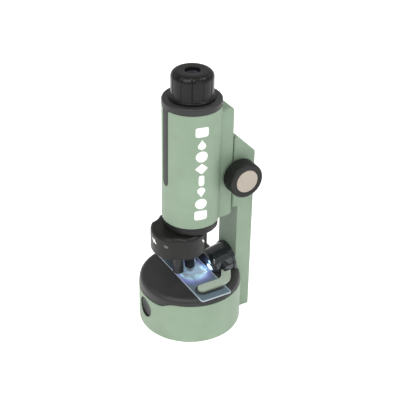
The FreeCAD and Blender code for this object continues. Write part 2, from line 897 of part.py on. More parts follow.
def make_post_shell():
    outside = prism_x(post_outline(), -post_half_width, post_half_width)

    def on_back_corner(edge):
        box = edge.BoundBox
        at_side = abs(abs(box.XMin) - post_half_width) < same and abs(box.XMax - box.XMin) < same
        upright = abs(box.YMin - post_back) < same and abs(box.YMax - post_back) < same
        sloping = box.ZMin > head_back_top - past and abs(box.YMax - post_back) < same
        return at_side and (upright or sloping)

    def across_top(edge):
        box = edge.BoundBox
        return box.ZMin > head_back_top - same and box.YMax - box.YMin < same

    outside = round_edges(outside, post_corner, across_top)
    outside = round_edges(outside, post_side_corner, on_back_corner)
    half = post_half_width - post_wall
    inner_back = post_back - post_wall
    lintel = head_bottom + post_wall
    drop = slope_drop()
    lower = block(-half, half, post_front - past, inner_back, post_wall, head_bottom - post_wall)
    middle = block(-half, half, post_front + post_wall, inner_back, post_wall, lintel + past)
    open_y = head_front - past
    upper = prism_x([
        (open_y, lintel),
        (inner_back, lintel),
        (inner_back, slope_at(inner_back) - drop),
        (open_y, slope_at(open_y) - drop),
    ], -half, half)
    bearing_end = post_half_width + past
    bearing = bar_x(shaft_radius + bearing_gap, -bearing_end, bearing_end, knob_y, knob_z)
    shell = cut_all(outside, [lower, middle, upper, bearing])
    return cut_all(shell, make_rooms(rear_screws) + make_rooms(foot_screws))


def post_boss(y0, z):
    return bar_y(boss_radius, y0, boss_end, 0, z)


def make_post_cover():
    half = post_half_width - post_wall - seam
    panel = block(-half, half, post_front, post_front + post_wall, post_wall + seam,
                  head_bottom - post_wall - seam)
    bosses = [post_boss(post_front, z) for z in post_screw_heights]
    for side in (-1, 1):
        x = side * post_foot_screw_x
        boss_front = post_front + post_foot_boss_length
        bosses.append(bar_y(boss_radius, post_front, boss_front, x, post_foot_screw_z))
    cover = union([panel] + bosses)
    return cut_all(cover, make_rooms(rear_screws) + make_rooms(foot_screws))


def rail_solid(side, gap, z0, z1, y_end):
    """A T rail, or with a gap the groove that it runs in."""
    x = side * rail_x
    neck = rail_neck / 2 + gap
    head = rail_head / 2 + gap
    neck_inner = carriage_back - rail_neck_length
    head_inner = neck_inner - rail_head_thickness
    return [
        block(x - neck, x + neck, neck_inner - seam, y_end, z0, z1),
        block(x - head, x + head, head_inner - gap, neck_inner + gap, z0, z1),
    ]


def make_head_guide():
    half = post_half_width - post_wall - seam
    low = head_bottom + post_wall + seam
    high = slope_at(head_front) - slope_drop() - seam
    high = min(high, slope_at(head_front + guide_thickness) - slope_drop() - seam)
    panel = block(-half, half, head_front, head_front + guide_thickness, low, high)
    pieces = [panel]
    for side in (-1, 1):
        pieces += rail_solid(side, 0, rail_bottom, rail_top, head_front + past)
    pieces += [post_boss(head_front, z) for z in head_screw_heights]
    guide = union(pieces)
    tip = pitch_radius + gear_addendum + free_gap * 2
    window = block(-gear_half_width - past, gear_half_width + past,
                   head_front - past, head_front + guide_thickness + past,
                   knob_z - tip, knob_z + tip)
    shaft_room = bar_x(shaft_radius + free_gap, -half - past, half + past, knob_y, knob_z)
    return cut_all(guide, [window, shaft_room] + make_rooms(rear_screws))


# ---- tube and carriage ----
def make_tube_shell():
    tube = post_z(tube_radius, tube_bottom, tube_top)
    tube = round_edges(tube, tube_edge, circle_at(tube_bottom, tube_radius))
    body = block(-post_half_width, post_half_width, 0, carriage_back, carriage_bottom, carriage_top)

    def on_back(edge):
        box = edge.BoundBox
        return box.YMin > carriage_back - same

    def across_ends(edge):
        box = edge.BoundBox
        return runs_along(X_AXIS)(edge) and box.YMin > carriage_back - same

    body = round_edges(body, carriage_corner, across_ends)
    body = round_edges(body, carriage_side_corner, lambda edge: on_back(edge) and runs_along(Z_AXIS)(edge))
    shell = union([tube, body])
    bore = post_z(tube_bore, carriage_bottom - past, tube_top + past)
    stripe_centre = stripe_bottom + stripe_half_width
    stripe = block(-stripe_half_width, stripe_half_width, -tube_radius - past, -tube_bore / 2,
                   stripe_centre, tube_top + past)
    stripe_end = bar_y(stripe_half_width, -tube_radius - past, -tube_bore / 2, 0, stripe_centre)
    shell = cut_all(shell, [bore, stripe, stripe_end])

    def at_stripe_top(edge):
        box = edge.BoundBox
        near = abs(abs(box.XMin) - stripe_half_width) < 0.2 and abs(box.XMax - box.XMin) < 0.2
        return near and box.ZMin > tube_top - same and box.YMax < 0

    shell = round_edges(shell, stripe_corner, at_stripe_top)
    groove_top = rail_top + focus_down + past
    grooves = []
    for side in (-1, 1):
        grooves += rail_solid(side, guide_gap, carriage_bottom - past, groove_top, carriage_back + past)
    low, high = rack_span()
    slot_half = rack_half_width + guide_gap
    slot = block(-slot_half, slot_half, rack_back_y - seam, carriage_back + past, low - seam, high + seam)
    return cut_all(shell, grooves + [slot])


def rack_span():
    """Bottom and top of the rack, long enough for the whole travel."""
    spare = (rack_spare_teeth + 0.5) * tooth_pitch
    tip = math.sqrt((pitch_radius + gear_addendum) ** 2 - (pitch_radius - gear_addendum) ** 2)
    return knob_z - focus_up - tip - spare, knob_z + focus_down + tip + spare


def make_inner_tube():
    """A dark sleeve inside the tube, with a rib that fills the tube's slot."""
    sleeve = ring_z(inner_tube_radius, inner_tube_bore, tube_bottom + seam, tube_top)
    half = stripe_half_width - seam
    centre = stripe_bottom + stripe_half_width
    straight = block(-half, half, -tube_radius, -inner_tube_bore, centre, tube_top)
    end = bar_y(half, -tube_radius, -inner_tube_bore, 0, centre)
    face = ring_z(tube_radius - stripe_recess, inner_tube_bore, tube_bottom, tube_top)
    return union([sleeve, union([straight, end]).common(face)])


def make_collar():
    ring = post_z(tube_radius + seam, collar_bottom, collar_top)
    ring = round_edges(ring, collar_edge, circle_at(collar_top, tube_radius + seam))
    spigot = post_z(inner_tube_bore - seam, collar_bottom - collar_spigot, collar_bottom + past)
    spigot_bore = post_z(inner_tube_bore - seam - collar_spigot_wall,
                         collar_bottom - collar_spigot - past, collar_bottom)
    hole = post_z(eyepiece_barrel_radius + free_gap, collar_bottom - collar_spigot - past, collar_top + past)
    seat = post_z(eyepiece_flange_radius + free_gap * 2, collar_top - collar_seat_depth, collar_top + past)
    return cut_all(union([ring, spigot]), [spigot_bore, hole, seat])


def involute_flank(base, start, end, steps):
    """Angle and radius pairs along an involute, from the start radius to the end radius."""
    flank = []
    for index in range(steps + 1):
        radius = start + (end - start) * index / steps
        if radius <= base:
            flank.append((0.0, radius))
            continue
        roll = math.sqrt((radius / base) ** 2 - 1)
        flank.append((roll - math.atan(roll), radius))
    return flank


def make_pinion():
    base = pitch_radius * math.cos(math.radians(pressure_angle))
    tip = pitch_radius + gear_addendum
    root = pitch_radius - gear_dedendum
    roll = math.sqrt((pitch_radius / base) ** 2 - 1)
    at_pitch = roll - math.atan(roll)
    half_tooth = (tooth_pitch / 2 - gear_backlash) / 2 / pitch_radius
    flank = involute_flank(base, root, tip, flank_steps)
    corners = []
    for tooth in range(gear_teeth):
        centre = math.pi + (tooth + 0.5) * 2 * math.pi / gear_teeth
        for angle, radius in flank:
            turn = centre - half_tooth - at_pitch + angle
            corners.append((knob_y + radius * math.cos(turn), knob_z + radius * math.sin(turn)))
        for angle, radius in reversed(flank):
            turn = centre + half_tooth + at_pitch - angle
            corners.append((knob_y + radius * math.cos(turn), knob_z + radius * math.sin(turn)))
    gear = prism_x(corners, -gear_half_width, gear_half_width)
    return gear.cut(bar_x(shaft_radius, -gear_half_width - past, gear_half_width + past, knob_y, knob_z))


def make_rack():
    low, high = rack_span()
    slope = math.tan(math.radians(pressure_angle))
    tip_y = rack_pitch_y + gear_addendum
    root_y = rack_pitch_y - gear_dedendum
    half_pitch = (tooth_pitch / 2 - gear_backlash) / 2
    half_tip = half_pitch - gear_addendum * slope
    half_root = half_pitch + gear_dedendum * slope
    first = math.ceil((low - knob_z + half_root) / tooth_pitch)
    last = math.floor((high - knob_z - half_root) / tooth_pitch)
    corners = [(rack_back_y, high), (rack_back_y, low), (root_y, low)]
    for index in range(first, last + 1):
        centre = knob_z + index * tooth_pitch
        corners += [
            (root_y, centre - half_root),
            (tip_y, centre - half_tip),
            (tip_y, centre + half_tip),
            (root_y, centre + half_root),
        ]
    corners.append((root_y, high))
    return prism_x(corners, -rack_half_width, rack_half_width)


def make_nosepiece():
    flange = post_z(nosepiece_radius, nosepiece_bottom, tube_bottom - seam)
    back_room = block(-post_half_width - free_gap, post_half_width + free_gap,
                      0, tube_radius * 2, nosepiece_bottom - past, tube_bottom + past)
    back_room = back_room.cut(post_z(tube_bore - seam, 0, tube_top))
    flange = flange.cut(back_room)
    flange = round_edges(flange, nosepiece_edge, circle_at(nosepiece_bottom, nosepiece_radius))
    spigot = ring_z(inner_tube_bore - seam, inner_tube_bore - seam - base_wall,
                    tube_bottom - seam * 2, tube_bottom + nosepiece_spigot)
    body = union([flange, spigot])
    light = post_z(light_hole_radius, nosepiece_bottom - past, tube_bottom + past)
    axle = post_z(turret_screw_radius + thread_gap, nosepiece_bottom - past, tube_bottom - past, 0, turret_y)
    return cut_all(body, [light, axle])


def make_tube_lens():
    bottom = tube_bottom
    return post_z(light_hole_radius + tube_lens_lap, bottom, bottom + tube_lens_thickness)


def make_turret_screw():
    head_top_z = turret_bottom - free_gap
    head_low_z = head_top_z - turret_screw_head_height
    head = post_z(turret_screw_head_radius, head_low_z, head_top_z, 0, turret_y)
    head = round_edges(head, turret_screw_head_edge, circle_at(head_low_z, turret_screw_head_radius))
    slot = block(-turret_screw_head_radius, turret_screw_head_radius,
                 turret_y - turret_screw_slot, turret_y + turret_screw_slot,
                 head_low_z - past, head_low_z + past)
    shank = post_z(turret_screw_radius, head_low_z + past, tube_bottom - turret_screw_end, 0, turret_y)
    return union([head.cut(slot), shank])


# ---- turret and objectives ----
def make_turret():
    drum = post_z(turret_radius, turret_bottom, turret_top, 0, turret_y)
    scallops = []
    for index in range(turret_lobes):
        angle = (index + 0.5) * 360 / turret_lobes
        x, y = on_turret(turret_radius + scallop_radius - scallop_depth, angle)
        scallops.append(post_z(scallop_radius, turret_bottom - past, turret_top + past, x, y))
    drum = cut_all(drum, scallops)
    top_edges = [edge for edge in drum.Edges if edge.BoundBox.ZMin > turret_top - same]
    drum = drum.makeFillet(turret_top_edge, top_edges)
    low_edges = [edge for edge in drum.Edges if edge.BoundBox.ZMax < turret_bottom + same]
    drum = drum.makeFillet(turret_bottom_edge, low_edges)
    holes = [post_z(turret_screw_radius + bearing_gap, turret_bottom - past, turret_top + past, 0, turret_y)]
    for name, angle, rise in objective_list:
        x, y = on_turret(objective_circle, angle)
        holes.append(post_z(objective_spigot_radius + thread_gap, turret_bottom - past,
                            turret_bottom + objective_spigot_length + seam, x, y))
        holes.append(post_z(objective_bore_radius, turret_bottom, turret_top + past, x, y))
    return cut_all(drum, holes)


def make_objective(angle, tip):
    x, y = on_turret(objective_circle, angle)
    top = turret_bottom - seam
    barrel = post_z(objective_radius, tip, top, x, y)
    barrel = bevel_edges(barrel, objective_tip_chamfer, circle_at(tip, objective_radius))
    collar = post_z(objective_collar_radius, top - objective_collar_height, top, x, y)
    low_rim = circle_at(top - objective_collar_height, objective_collar_radius)
    collar = bevel_edges(collar, objective_collar_chamfer, low_rim)
    spigot = post_z(objective_spigot_radius, top - past, turret_bottom + objective_spigot_length, x, y)
    body = union([barrel, collar, spigot])
    seat = post_z(objective_lens_radius + thread_gap, tip - past,
                  tip + objective_lens_recess + objective_lens_thickness, x, y)
    bore = post_z(objective_lens_radius - objective_lens_lip, tip,
                  turret_bottom + objective_spigot_length + past, x, y)
    return cut_all(body, [seat, bore])


def make_objective_lens(angle, tip):
    x, y = on_turret(objective_circle, angle)
    bottom = tip + objective_lens_recess
    return post_z(objective_lens_radius, bottom, bottom + objective_lens_thickness, x, y)


# ---- knobs ----
def make_shaft():
    reach = knob_inner_x + knob_shaft_depth
    return bar_x(shaft_radius, -reach, reach, knob_y, knob_z)


def make_knob():
    body = bar_x(knob_radius, knob_inner_x, knob_outer_x, knob_y, knob_z)
    body = round_edges(body, knob_edge, lambda edge: isinstance(edge.Curve, Part.Circle))
    hub_start = post_half_width + seam + knob_washer_thickness + seam
    hub = bar_x(knob_hub_radius, hub_start, knob_inner_x + past, knob_y, knob_z)
    knob = union([body, hub])
    seat = bar_x(knob_cap_radius + seam, knob_outer_x - knob_cap_depth, knob_outer_x + past, knob_y, knob_z)
    socket = bar_x(shaft_radius, hub_start - past, knob_inner_x + knob_shaft_depth, knob_y, knob_z)
    return cut_all(knob, [seat, socket])


def make_knob_cap():
    outer = knob_outer_x + knob_cap_stand
    cap = bar_x(knob_cap_radius, knob_outer_x - knob_cap_depth, outer, knob_y, knob_z)

    def at_face(edge):
        return isinstance(edge.Curve, Part.Circle) and abs(edge.Curve.Center.x - outer) < same

    return round_edges(cap, knob_cap_edge, at_face)


def make_knob_washers():
    inner = post_half_width + seam
    washer = bar_x(knob_hub_radius, inner, inner + knob_washer_thickness, knob_y, knob_z)
    outer = inner + knob_washer_thickness
    hole = bar_x(shaft_radius + thread_gap, inner - past, outer + past, knob_y, knob_z)
    washer = washer.cut(hole)
    return Part.makeCompound([washer, mirrored(washer)])


# ---- eyepiece ----
def make_eyepiece():
    head = post_z(eyepiece_radius, eyepiece_bottom, eyepiece_top)
    grooves = []
    for index in range(eyepiece_grooves):
        angle = (index + 0.5) * 360 / eyepiece_grooves
        x, y = on_circle(eyepiece_radius + eyepiece_groove_radius - eyepiece_groove_depth, angle)
        grooves.append(post_z(eyepiece_groove_radius, eyepiece_bottom - past, eyepiece_top + past, x, y))
    head = round_edges(head, eyepiece_edge, circle_at(eyepiece_top, eyepiece_radius))
    head = cut_all(head, grooves)
    flange = post_z(eyepiece_flange_radius, eyepiece_bottom, eyepiece_bottom + eyepiece_flange_thickness)
    flange = round_edges(flange, eyepiece_flange_edge,
                         circle_at(eyepiece_bottom + eyepiece_flange_thickness, eyepiece_flange_radius))
    barrel_low = eyepiece_bottom - eyepiece_barrel_length
    barrel = post_z(eyepiece_barrel_radius, barrel_low, eyepiece_bottom + past)
    lip_top = collar_bottom - collar_spigot - seam
    lip = post_z(eyepiece_barrel_radius + eyepiece_lip, lip_top - eyepiece_lip_thickness, lip_top)
    body = union([head, flange, barrel, lip])
    recess = post_z(eyepiece_recess_radius, eyepiece_top - eyepiece_recess_depth, eyepiece_top + past)
    seat_bottom = eyepiece_top - eyepiece_recess_depth - eyepiece_lens_thickness
    lens_radius = eyepiece_recess_radius - eyepiece_lens_lap
    seat = post_z(lens_radius + thread_gap, seat_bottom, eyepiece_top)
    light = post_z(lens_radius - eyepiece_lens_lap, seat_bottom - eyepiece_web - past, seat_bottom + past)
    bore = post_z(eyepiece_barrel_radius - eyepiece_barrel_wall,
                  barrel_low - past, seat_bottom - eyepiece_web)
    return cut_all(body, [recess, seat, light, bore])


def make_eyepiece_lens():
    bottom = eyepiece_top - eyepiece_recess_depth - eyepiece_lens_thickness
    radius = eyepiece_recess_radius - eyepiece_lens_lap
    return post_z(radius, bottom, bottom + eyepiece_lens_thickness)


def make_field_lens():
    radius = eyepiece_barrel_radius - eyepiece_barrel_wall - thread_gap
    bottom = eyepiece_bottom - eyepiece_barrel_length + field_lens_inset
    return post_z(radius, bottom, bottom + eyepiece_lens_thickness)


# ---- write every sub-part ----
save("base_shell", make_base_shell())
save("base_plate", make_base_plate())
save("base_screws", make_screws(base_screws))
save("foot_pads", make_foot_pads())
save("battery_door", make_battery_door())
save("battery_door_screw", make_screws([door_screw]))
save("battery_cells", make_battery_cells())
save("battery_contacts", make_battery_contacts())
save("circuit_board", make_circuit_board())
save("board_screws", make_screws(board_screws))
save("lamp_led", make_led())
save("lamp_switch", make_lamp_switch())
save("lamp_button", make_lamp_button())
save("stage_cap", make_stage_cap())
save("stage_window", make_stage_window())
save("cowl", make_cowl())
save("cowl_screws", make_screws(cowl_screws))
save("post_shell", make_post_shell())
save("post_cover", make_post_cover())
save("head_guide", make_head_guide())
save("rear_screws", make_screws(rear_screws))
save("post_foot_screws", make_screws(foot_screws))
save("clip_right", make_clip())
save("clip_left", mirrored(make_clip()))
save("specimen_slide", make_specimen_slide())
save("cover_slip", make_cover_slip())
save("specimen", make_specimen())
save("tube_shell", make_tube_shell())
save("inner_tube", make_inner_tube())
save("collar", make_collar())
save("nosepiece", make_nosepiece())
save("tube_lens", make_tube_lens())
save("focus_rack", make_rack())
save("turret_screw", make_turret_screw())
save("turret_drum", make_turret())
for name, angle, rise in objective_list:
    save("objective_" + name, make_objective(angle, stage_height + rise))
    save("objective_lens_" + name, make_objective_lens(angle, stage_height + rise))
save("focus_shaft", make_shaft())
save("focus_pinion", make_pinion())
save("focus_knob_right", make_knob())
save("focus_knob_left", mirrored(make_knob()))
save("knob_cap_right", make_knob_cap())
save("knob_cap_left", mirrored(make_knob_cap()))
save("knob_washers", make_knob_washers())
save("eyepiece_body", make_eyepiece())
save("eyepiece_lens", make_eyepiece_lens())
save("field_lens", make_field_lens())
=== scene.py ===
import math

import bmesh
import bpy
from mathutils import Matrix, Vector


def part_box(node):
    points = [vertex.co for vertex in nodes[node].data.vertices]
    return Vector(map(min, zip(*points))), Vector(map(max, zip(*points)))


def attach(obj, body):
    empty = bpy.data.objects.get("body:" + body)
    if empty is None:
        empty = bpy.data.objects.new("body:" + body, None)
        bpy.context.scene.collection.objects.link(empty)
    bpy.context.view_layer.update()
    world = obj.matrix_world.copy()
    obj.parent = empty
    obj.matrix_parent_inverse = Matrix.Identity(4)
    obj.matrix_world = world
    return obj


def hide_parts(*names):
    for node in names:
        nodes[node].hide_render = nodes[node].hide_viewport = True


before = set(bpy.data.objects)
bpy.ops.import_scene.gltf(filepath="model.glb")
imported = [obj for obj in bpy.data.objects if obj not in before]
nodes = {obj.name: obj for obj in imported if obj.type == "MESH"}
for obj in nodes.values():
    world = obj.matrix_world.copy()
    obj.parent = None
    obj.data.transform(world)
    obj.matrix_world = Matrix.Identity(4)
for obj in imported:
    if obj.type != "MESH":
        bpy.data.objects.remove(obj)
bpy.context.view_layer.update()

mm = 0.001
print("frame loaded:", len(nodes), "nodes")


def nodeBox(name):
    low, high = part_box(name)
    return Vector(low), Vector(high)


def middle(name):
    low, high = nodeBox(name)
    return (low + high) / 2


class Wire:
    # one socket of a node tree; arithmetic on it adds Math nodes
    def __init__(self, tree, socket=None):
        self.tree = tree
        self.socket = socket

    def node(self, kind, settings=None, values=None, out=0):
        made = self.tree.nodes.new(kind)
        for name, value in (settings or {}).items():
            setattr(made, name, value)
        for name, value in (values or {}).items():
            target = made.inputs[name]
            if isinstance(value, Wire):
                self.tree.links.new(value.socket, target)
            else:
                target.default_value = value
        return Wire(self.tree, made.outputs[out]) if made.outputs else None

    def maths(self, operation, *others, clamp=False):
        values = {0: self}
        for number, other in enumerate(others):
            values[number + 1] = other
        return self.node("ShaderNodeMath", {"operation": operation, "use_clamp": clamp}, values)

    def vector(self, operation, values, out=0):
        return self.node("ShaderNodeVectorMath", {"operation": operation}, values, out)

    def ramp(self, low, high, start=0.0, end=1.0):
        # smooth step from start at low to end at high
        values = {"Value": self, "From Min": low, "From Max": high, "To Min": start, "To Max": end}
        return self.node("ShaderNodeMapRange", {"interpolation_type": "SMOOTHSTEP"}, values)

    def __add__(self, other):
        return self.maths("ADD", other)

    def __radd__(self, other):
        return self.maths("ADD", other)

    def __sub__(self, other):
        return self.maths("SUBTRACT", other)

    def __rsub__(self, other):
        return self.node("ShaderNodeMath", {"operation": "SUBTRACT"}, {0: other, 1: self})

    def __mul__(self, other):
        return self.maths("MULTIPLY", other)

    def __rmul__(self, other):
        return self.maths("MULTIPLY", other)

    def __truediv__(self, other):
        return self.maths("DIVIDE", other)

    def __pow__(self, other):
        return self.maths("POWER", other)

    def __gt__(self, other):
        return self.maths("GREATER_THAN", other)

    def __abs__(self):
        return self.maths("ABSOLUTE")


def linear(red, green, blue):
    # sRGB 0-255 to a linear colour
    def channel(value):
        value = value / 255
        return value / 12.92 if value <= 0.04045 else ((value + 0.055) / 1.055) ** 2.4
    return (channel(red), channel(green), channel(blue), 1.0)


def shade(colour, factor):
    return (colour[0] * factor, colour[1] * factor, colour[2] * factor, 1.0)


def startMaterial(name):
    material = bpy.data.materials.new(name)
    material.use_nodes = True
    tree = material.node_tree
    tree.nodes.clear()
    return material, Wire(tree)


def place(root):
    return root.node("ShaderNodeTexCoord", out=3)


def noise(root, grain, detail=2.0, roughness=0.5, vector=None):
    # grain is the size of one blotch in mm
    values = {"Vector": vector or place(root), "Scale": 1 / (grain * mm),
              "Detail": detail, "Roughness": roughness}
    return root.node("ShaderNodeTexNoise", {"noise_dimensions": "3D"}, values)


def cells(root, grain):
    values = {"Vector": place(root), "Scale": 1 / (grain * mm)}
    return root.node("ShaderNodeTexVoronoi", {"feature": "F1"}, values)


def mixColour(root, factor, first, second):
    # sockets 0, 6 and 7 of a Mix node are its number factor and its two colours; output 2 is the colour
    return root.node("ShaderNodeMix", {"data_type": "RGBA"}, {0: factor, 6: first, 7: second}, out=2)


def bump(root, height, strength, distance):
    # distance in mm
    values = {"Height": height, "Strength": strength, "Distance": distance * mm}
    return root.node("ShaderNodeBump", {}, values)


def finish(root, values):
    surface = root.node("ShaderNodeBsdfPrincipled", {}, values)
    root.node("ShaderNodeOutputMaterial", {}, {"Surface": surface})


def glaze(root, share, through, gloss):
    # see-through sheet: share of the gloss over the clear part
    values = {"Fac": share.maths("MINIMUM", 1.0), 1: through, 2: gloss}
    surface = root.node("ShaderNodeMixShader", {}, values)
    root.node("ShaderNodeOutputMaterial", {}, {"Surface": surface})


def fromAxis(root, x=0.0, y=0.0):
    # distance from an upright line through (x, y), given in mm
    flat = root.vector("MULTIPLY", {0: place(root), 1: (1.0, 1.0, 0.0)})
    offset = root.vector("SUBTRACT", {0: flat, 1: (x * mm, y * mm, 0.0)})
    return root.vector("LENGTH", {0: offset}, out=1)


plastics = {
    # colour, roughness, grain size in mm, grain depth in mm, how far the tone drifts
    "sagePlastic": dict(colour=(133, 152, 131), rough=0.46, grain=0.28, depth=0.012, drift=0.05),
    "blackPlastic": dict(colour=(47, 48, 47), rough=0.42, grain=0.3, depth=0.014, drift=0.10, sheen=0.3),
    # a darker copy of blackPlastic: painted shade for black parts that catch more of the studio light
    "darkPlastic": dict(colour=(30, 30, 29), rough=0.36, grain=0.3, depth=0.012, drift=0.10, sheen=0.24),
    "glossBlack": dict(colour=(33, 37, 41), rough=0.17, grain=0.6, depth=0.003, drift=0.08, sheen=0.8),
    "clipPlastic": dict(colour=(162, 174, 159), rough=0.42, grain=0.25, depth=0.008, drift=0.04),
    "beigePlastic": dict(colour=(170, 159, 147), rough=0.5, grain=0.25, depth=0.010, drift=0.04),
    "gearPlastic": dict(colour=(214, 211, 198), rough=0.45, grain=0.4, depth=0.006, drift=0.04),
    "whiteInk": dict(colour=(236, 240, 234), rough=0.55, grain=0.15, depth=0.004, drift=0.02),
    "greyMark": dict(colour=(96, 96, 94), rough=0.35, grain=0.2, depth=0.004, drift=0.04),
    "eyepieceBlack": dict(colour=(22, 22, 22), rough=0.27, grain=0.3, depth=0.010, drift=0.10, sheen=0.24),
    "objectiveBlack": dict(colour=(34, 35, 38), rough=0.28, grain=0.3, depth=0.006, drift=0.08, sheen=0.34),
}


def plastic(name, wearLow=None):
    facts = plastics[name]
    material, root = startMaterial(name)
    base = linear(*facts["colour"])
    cloud = noise(root, 22, 3.0)
    grain = noise(root, facts["grain"], 2.0, 0.6)
    pits = cells(root, facts["grain"] * 1.7)
    marks = noise(root, 3.5, 5.0, 0.7)
    drift = facts["drift"]
    tone = mixColour(root, cloud.ramp(0.3, 0.7), shade(base, 1 - drift), shade(base, 1 + drift))
    speck = grain.ramp(0.35, 0.65, 0.0, drift * 0.8)
    tone = mixColour(root, speck, tone, shade(base, 0.7))
    # handling marks: slightly glossier and lighter blotches
    rubbed = marks.ramp(0.58, 0.72)
    tone = mixColour(root, rubbed * 0.10, tone, shade(base, 1.25))
    if wearLow is not None:
        # scuffs that gather near the foot of the piece
        height = root.node("ShaderNodeSeparateXYZ", {}, {"Vector": place(root)}, out=2)
        near = height.ramp(wearLow, wearLow + 3 * mm, 1.0, 0.0)
        scuff = near * marks.ramp(0.45, 0.62)
        tone = mixColour(root, scuff * 0.35, tone, shade(base, 1.5))
        rubbed = rubbed * (1 - near) + scuff * 0.4
    rough = facts["rough"] + (cloud - 0.5) * 0.08 - rubbed * 0.06 + (grain - 0.5) * 0.10
    height = grain * 0.6 + pits.ramp(0.1, 0.7) * 0.4
    values = {
        "Base Color": tone,
        "Roughness": rough,
        "Normal": bump(root, height, 0.6, facts["depth"]),
        "IOR": 1.49,
        "Specular IOR Level": facts.get("sheen", 0.4),
    }
    finish(root, values)
    return material


def metal(name, colour, rough, brushed=(1, 1, 1)):
    material, root = startMaterial(name)
    base = linear(*colour)
    stretch = root.node("ShaderNodeMapping", {}, {"Vector": place(root), "Scale": brushed})
    lines = noise(root, 0.12, 3.0, 0.6, stretch)
    stain = noise(root, 2.5, 4.0)
    tone = mixColour(root, stain.ramp(0.35, 0.7), shade(base, 0.8), base)
    finish(root, {
        "Base Color": tone,
        "Metallic": 1.0,
        "Roughness": rough + (lines - 0.5) * 0.25 + stain.ramp(0.5, 0.8, 0.0, 0.12),
        "Normal": bump(root, lines, 0.4, 0.01),
    })
    return material


def rubber(name):
    material, root = startMaterial(name)
    base = linear(44, 44, 43)
    dust = noise(root, 0.9, 5.0, 0.7)
    grain = noise(root, 0.2, 3.0)
    tone = mixColour(root, dust.ramp(0.5, 0.75, 0.0, 0.35), base, linear(112, 110, 104))
    finish(root, {
        "Base Color": tone,
        "Roughness": dust.ramp(0.3, 0.7, 0.72, 0.88),
        "Normal": bump(root, grain, 0.7, 0.03),
    })
    return material


def clearGlass(name, tint=(0.90, 0.97, 0.98), rough=0.02, glow=0.0, solid=0.05):
    # clear sheet: mostly see-through, with patches of whiter gloss; glow is painted light, emission that
    # makes the sheet shine
    material, root = startMaterial(name)
    smear = noise(root, 6, 4.0)
    film = smear.ramp(0.55, 0.8, 0.0, 0.06)
    colour = (tint[0], tint[1], tint[2], 1.0)
    through = root.node("ShaderNodeBsdfTransparent", {}, {"Color": colour})
    gloss = root.node("ShaderNodeBsdfPrincipled", {}, {
        "Base Color": mixColour(root, film * 8, shade(colour, 0.85), (1, 1, 1, 1)),
        "Roughness": rough + film * 0.6,
        "IOR": 1.5,
        "Emission Color": colour,
        "Emission Strength": glow,
        "Normal": bump(root, smear, 0.05, 0.02),
    })
    fresnel = root.node("ShaderNodeFresnel", {}, {"IOR": 1.45})
    glaze(root, fresnel + solid + film, through, gloss)
    return material


# painted glow standing in for the lamp's light in the slide, in mm from the optical axis
paintedSlideGlow = {"centre": (3, 0.5), "full": 9, "gone": 19, "colour": (160, 198, 214),
            "rimStart": 8, "rimEnd": 14, "rimColour": (112, 100, 186)}


def slideGlass(name):
    # clear glass with a painted glow: emission stands in for the lamp's light scattered round the lit window
    material, root = startMaterial(name)
    reach = fromAxis(root, *paintedSlideGlow["centre"])
    smear = noise(root, 5, 4.0)
    dust = noise(root, 0.5, 3.0, 0.7)
    # painted light: emission that fades with distance from the window and turns purple towards its outer rim
    glow = reach.ramp(paintedSlideGlow["full"] * mm, paintedSlideGlow["gone"] * mm, 1.0, 0.0)
    glow = glow * smear.ramp(0.35, 0.65, 0.35, 1.0)
    rim = reach.ramp(paintedSlideGlow["rimStart"] * mm, paintedSlideGlow["rimEnd"] * mm)
    colour = mixColour(root, rim, linear(*paintedSlideGlow["colour"]), linear(*paintedSlideGlow["rimColour"]))
    through = root.node("ShaderNodeBsdfTransparent", {}, {"Color": (0.93, 0.97, 0.98, 1.0)})
    gloss = root.node("ShaderNodeBsdfPrincipled", {}, {
        "Base Color": mixColour(root, dust.ramp(0.5, 0.8, 0.0, 0.3),
                                linear(120, 135, 145), linear(210, 220, 225)),
        "Roughness": smear.ramp(0.3, 0.8, 0.04, 0.16),
        "Emission Color": mixColour(root, glow, (0, 0, 0, 1), colour),
        "Emission Strength": 1.0,
        "Normal": bump(root, smear, 0.05, 0.02),
    })
    fresnel = root.node("ShaderNodeFresnel", {}, {"IOR": 1.45})
    glaze(root, fresnel + 0.04 + glow * 0.7 + dust.ramp(0.6, 0.9, 0.0, 0.08), through, gloss)
    return material


def litWindow(name, strength):
    material, root = startMaterial(name)
    centre = fromAxis(root)
    frost = noise(root, 0.35, 3.0)
    glow = centre.ramp(1.0 * mm, 7.0 * mm, 1.0, 0.55)
    bright = mixColour(root, glow * frost.ramp(0.2, 0.8, 0.85, 1.0),
                       linear(120, 160, 220), linear(225, 242, 255))
    finish(root, {
        "Base Color": mixColour(root, frost, linear(205, 220, 235), linear(235, 242, 250)),
        "Roughness": frost.ramp(0.3, 0.7, 0.35, 0.6),
        "Emission Color": bright,
        "Emission Strength": strength,
        "Normal": bump(root, frost, 0.5, 0.03),
    })
    return material


def stainedTissue(name):
    material, root = startMaterial(name)
    tissue = cells(root, 0.5)
    veins = noise(root, 1.2, 5.0, 0.7)
    tone = mixColour(root, tissue.ramp(0.2, 0.8), linear(70, 110, 120), linear(150, 190, 200))
    tone = mixColour(root, veins.ramp(0.5, 0.65, 0.0, 0.7), tone, linear(60, 80, 120))
    finish(root, {
        "Base Color": tone,
        "Roughness": veins.ramp(0.3, 0.7, 0.5, 0.7),
        "Alpha": veins.ramp(0.35, 0.55, 0.25, 0.8),
        "Normal": bump(root, tissue, 0.4, 0.03),
    })
    return material


def boardLaminate(name):
    material, root = startMaterial(name)
    weave = cells(root, 0.8)
    copper = noise(root, 3, 1.0)
    tracks = copper.ramp(0.48, 0.50) * copper.ramp(0.54, 0.52)
    tone = mixColour(root, tracks, linear(22, 78, 46), linear(38, 112, 64))
    finish(root, {
        "Base Color": mixColour(root, weave.ramp(0.2, 0.9, 0.0, 0.15), tone, linear(15, 60, 35)),
        "Roughness": weave.ramp(0.0, 1.0, 0.30, 0.42),
        "Normal": bump(root, tracks, 0.5, 0.03),
    })
    return material


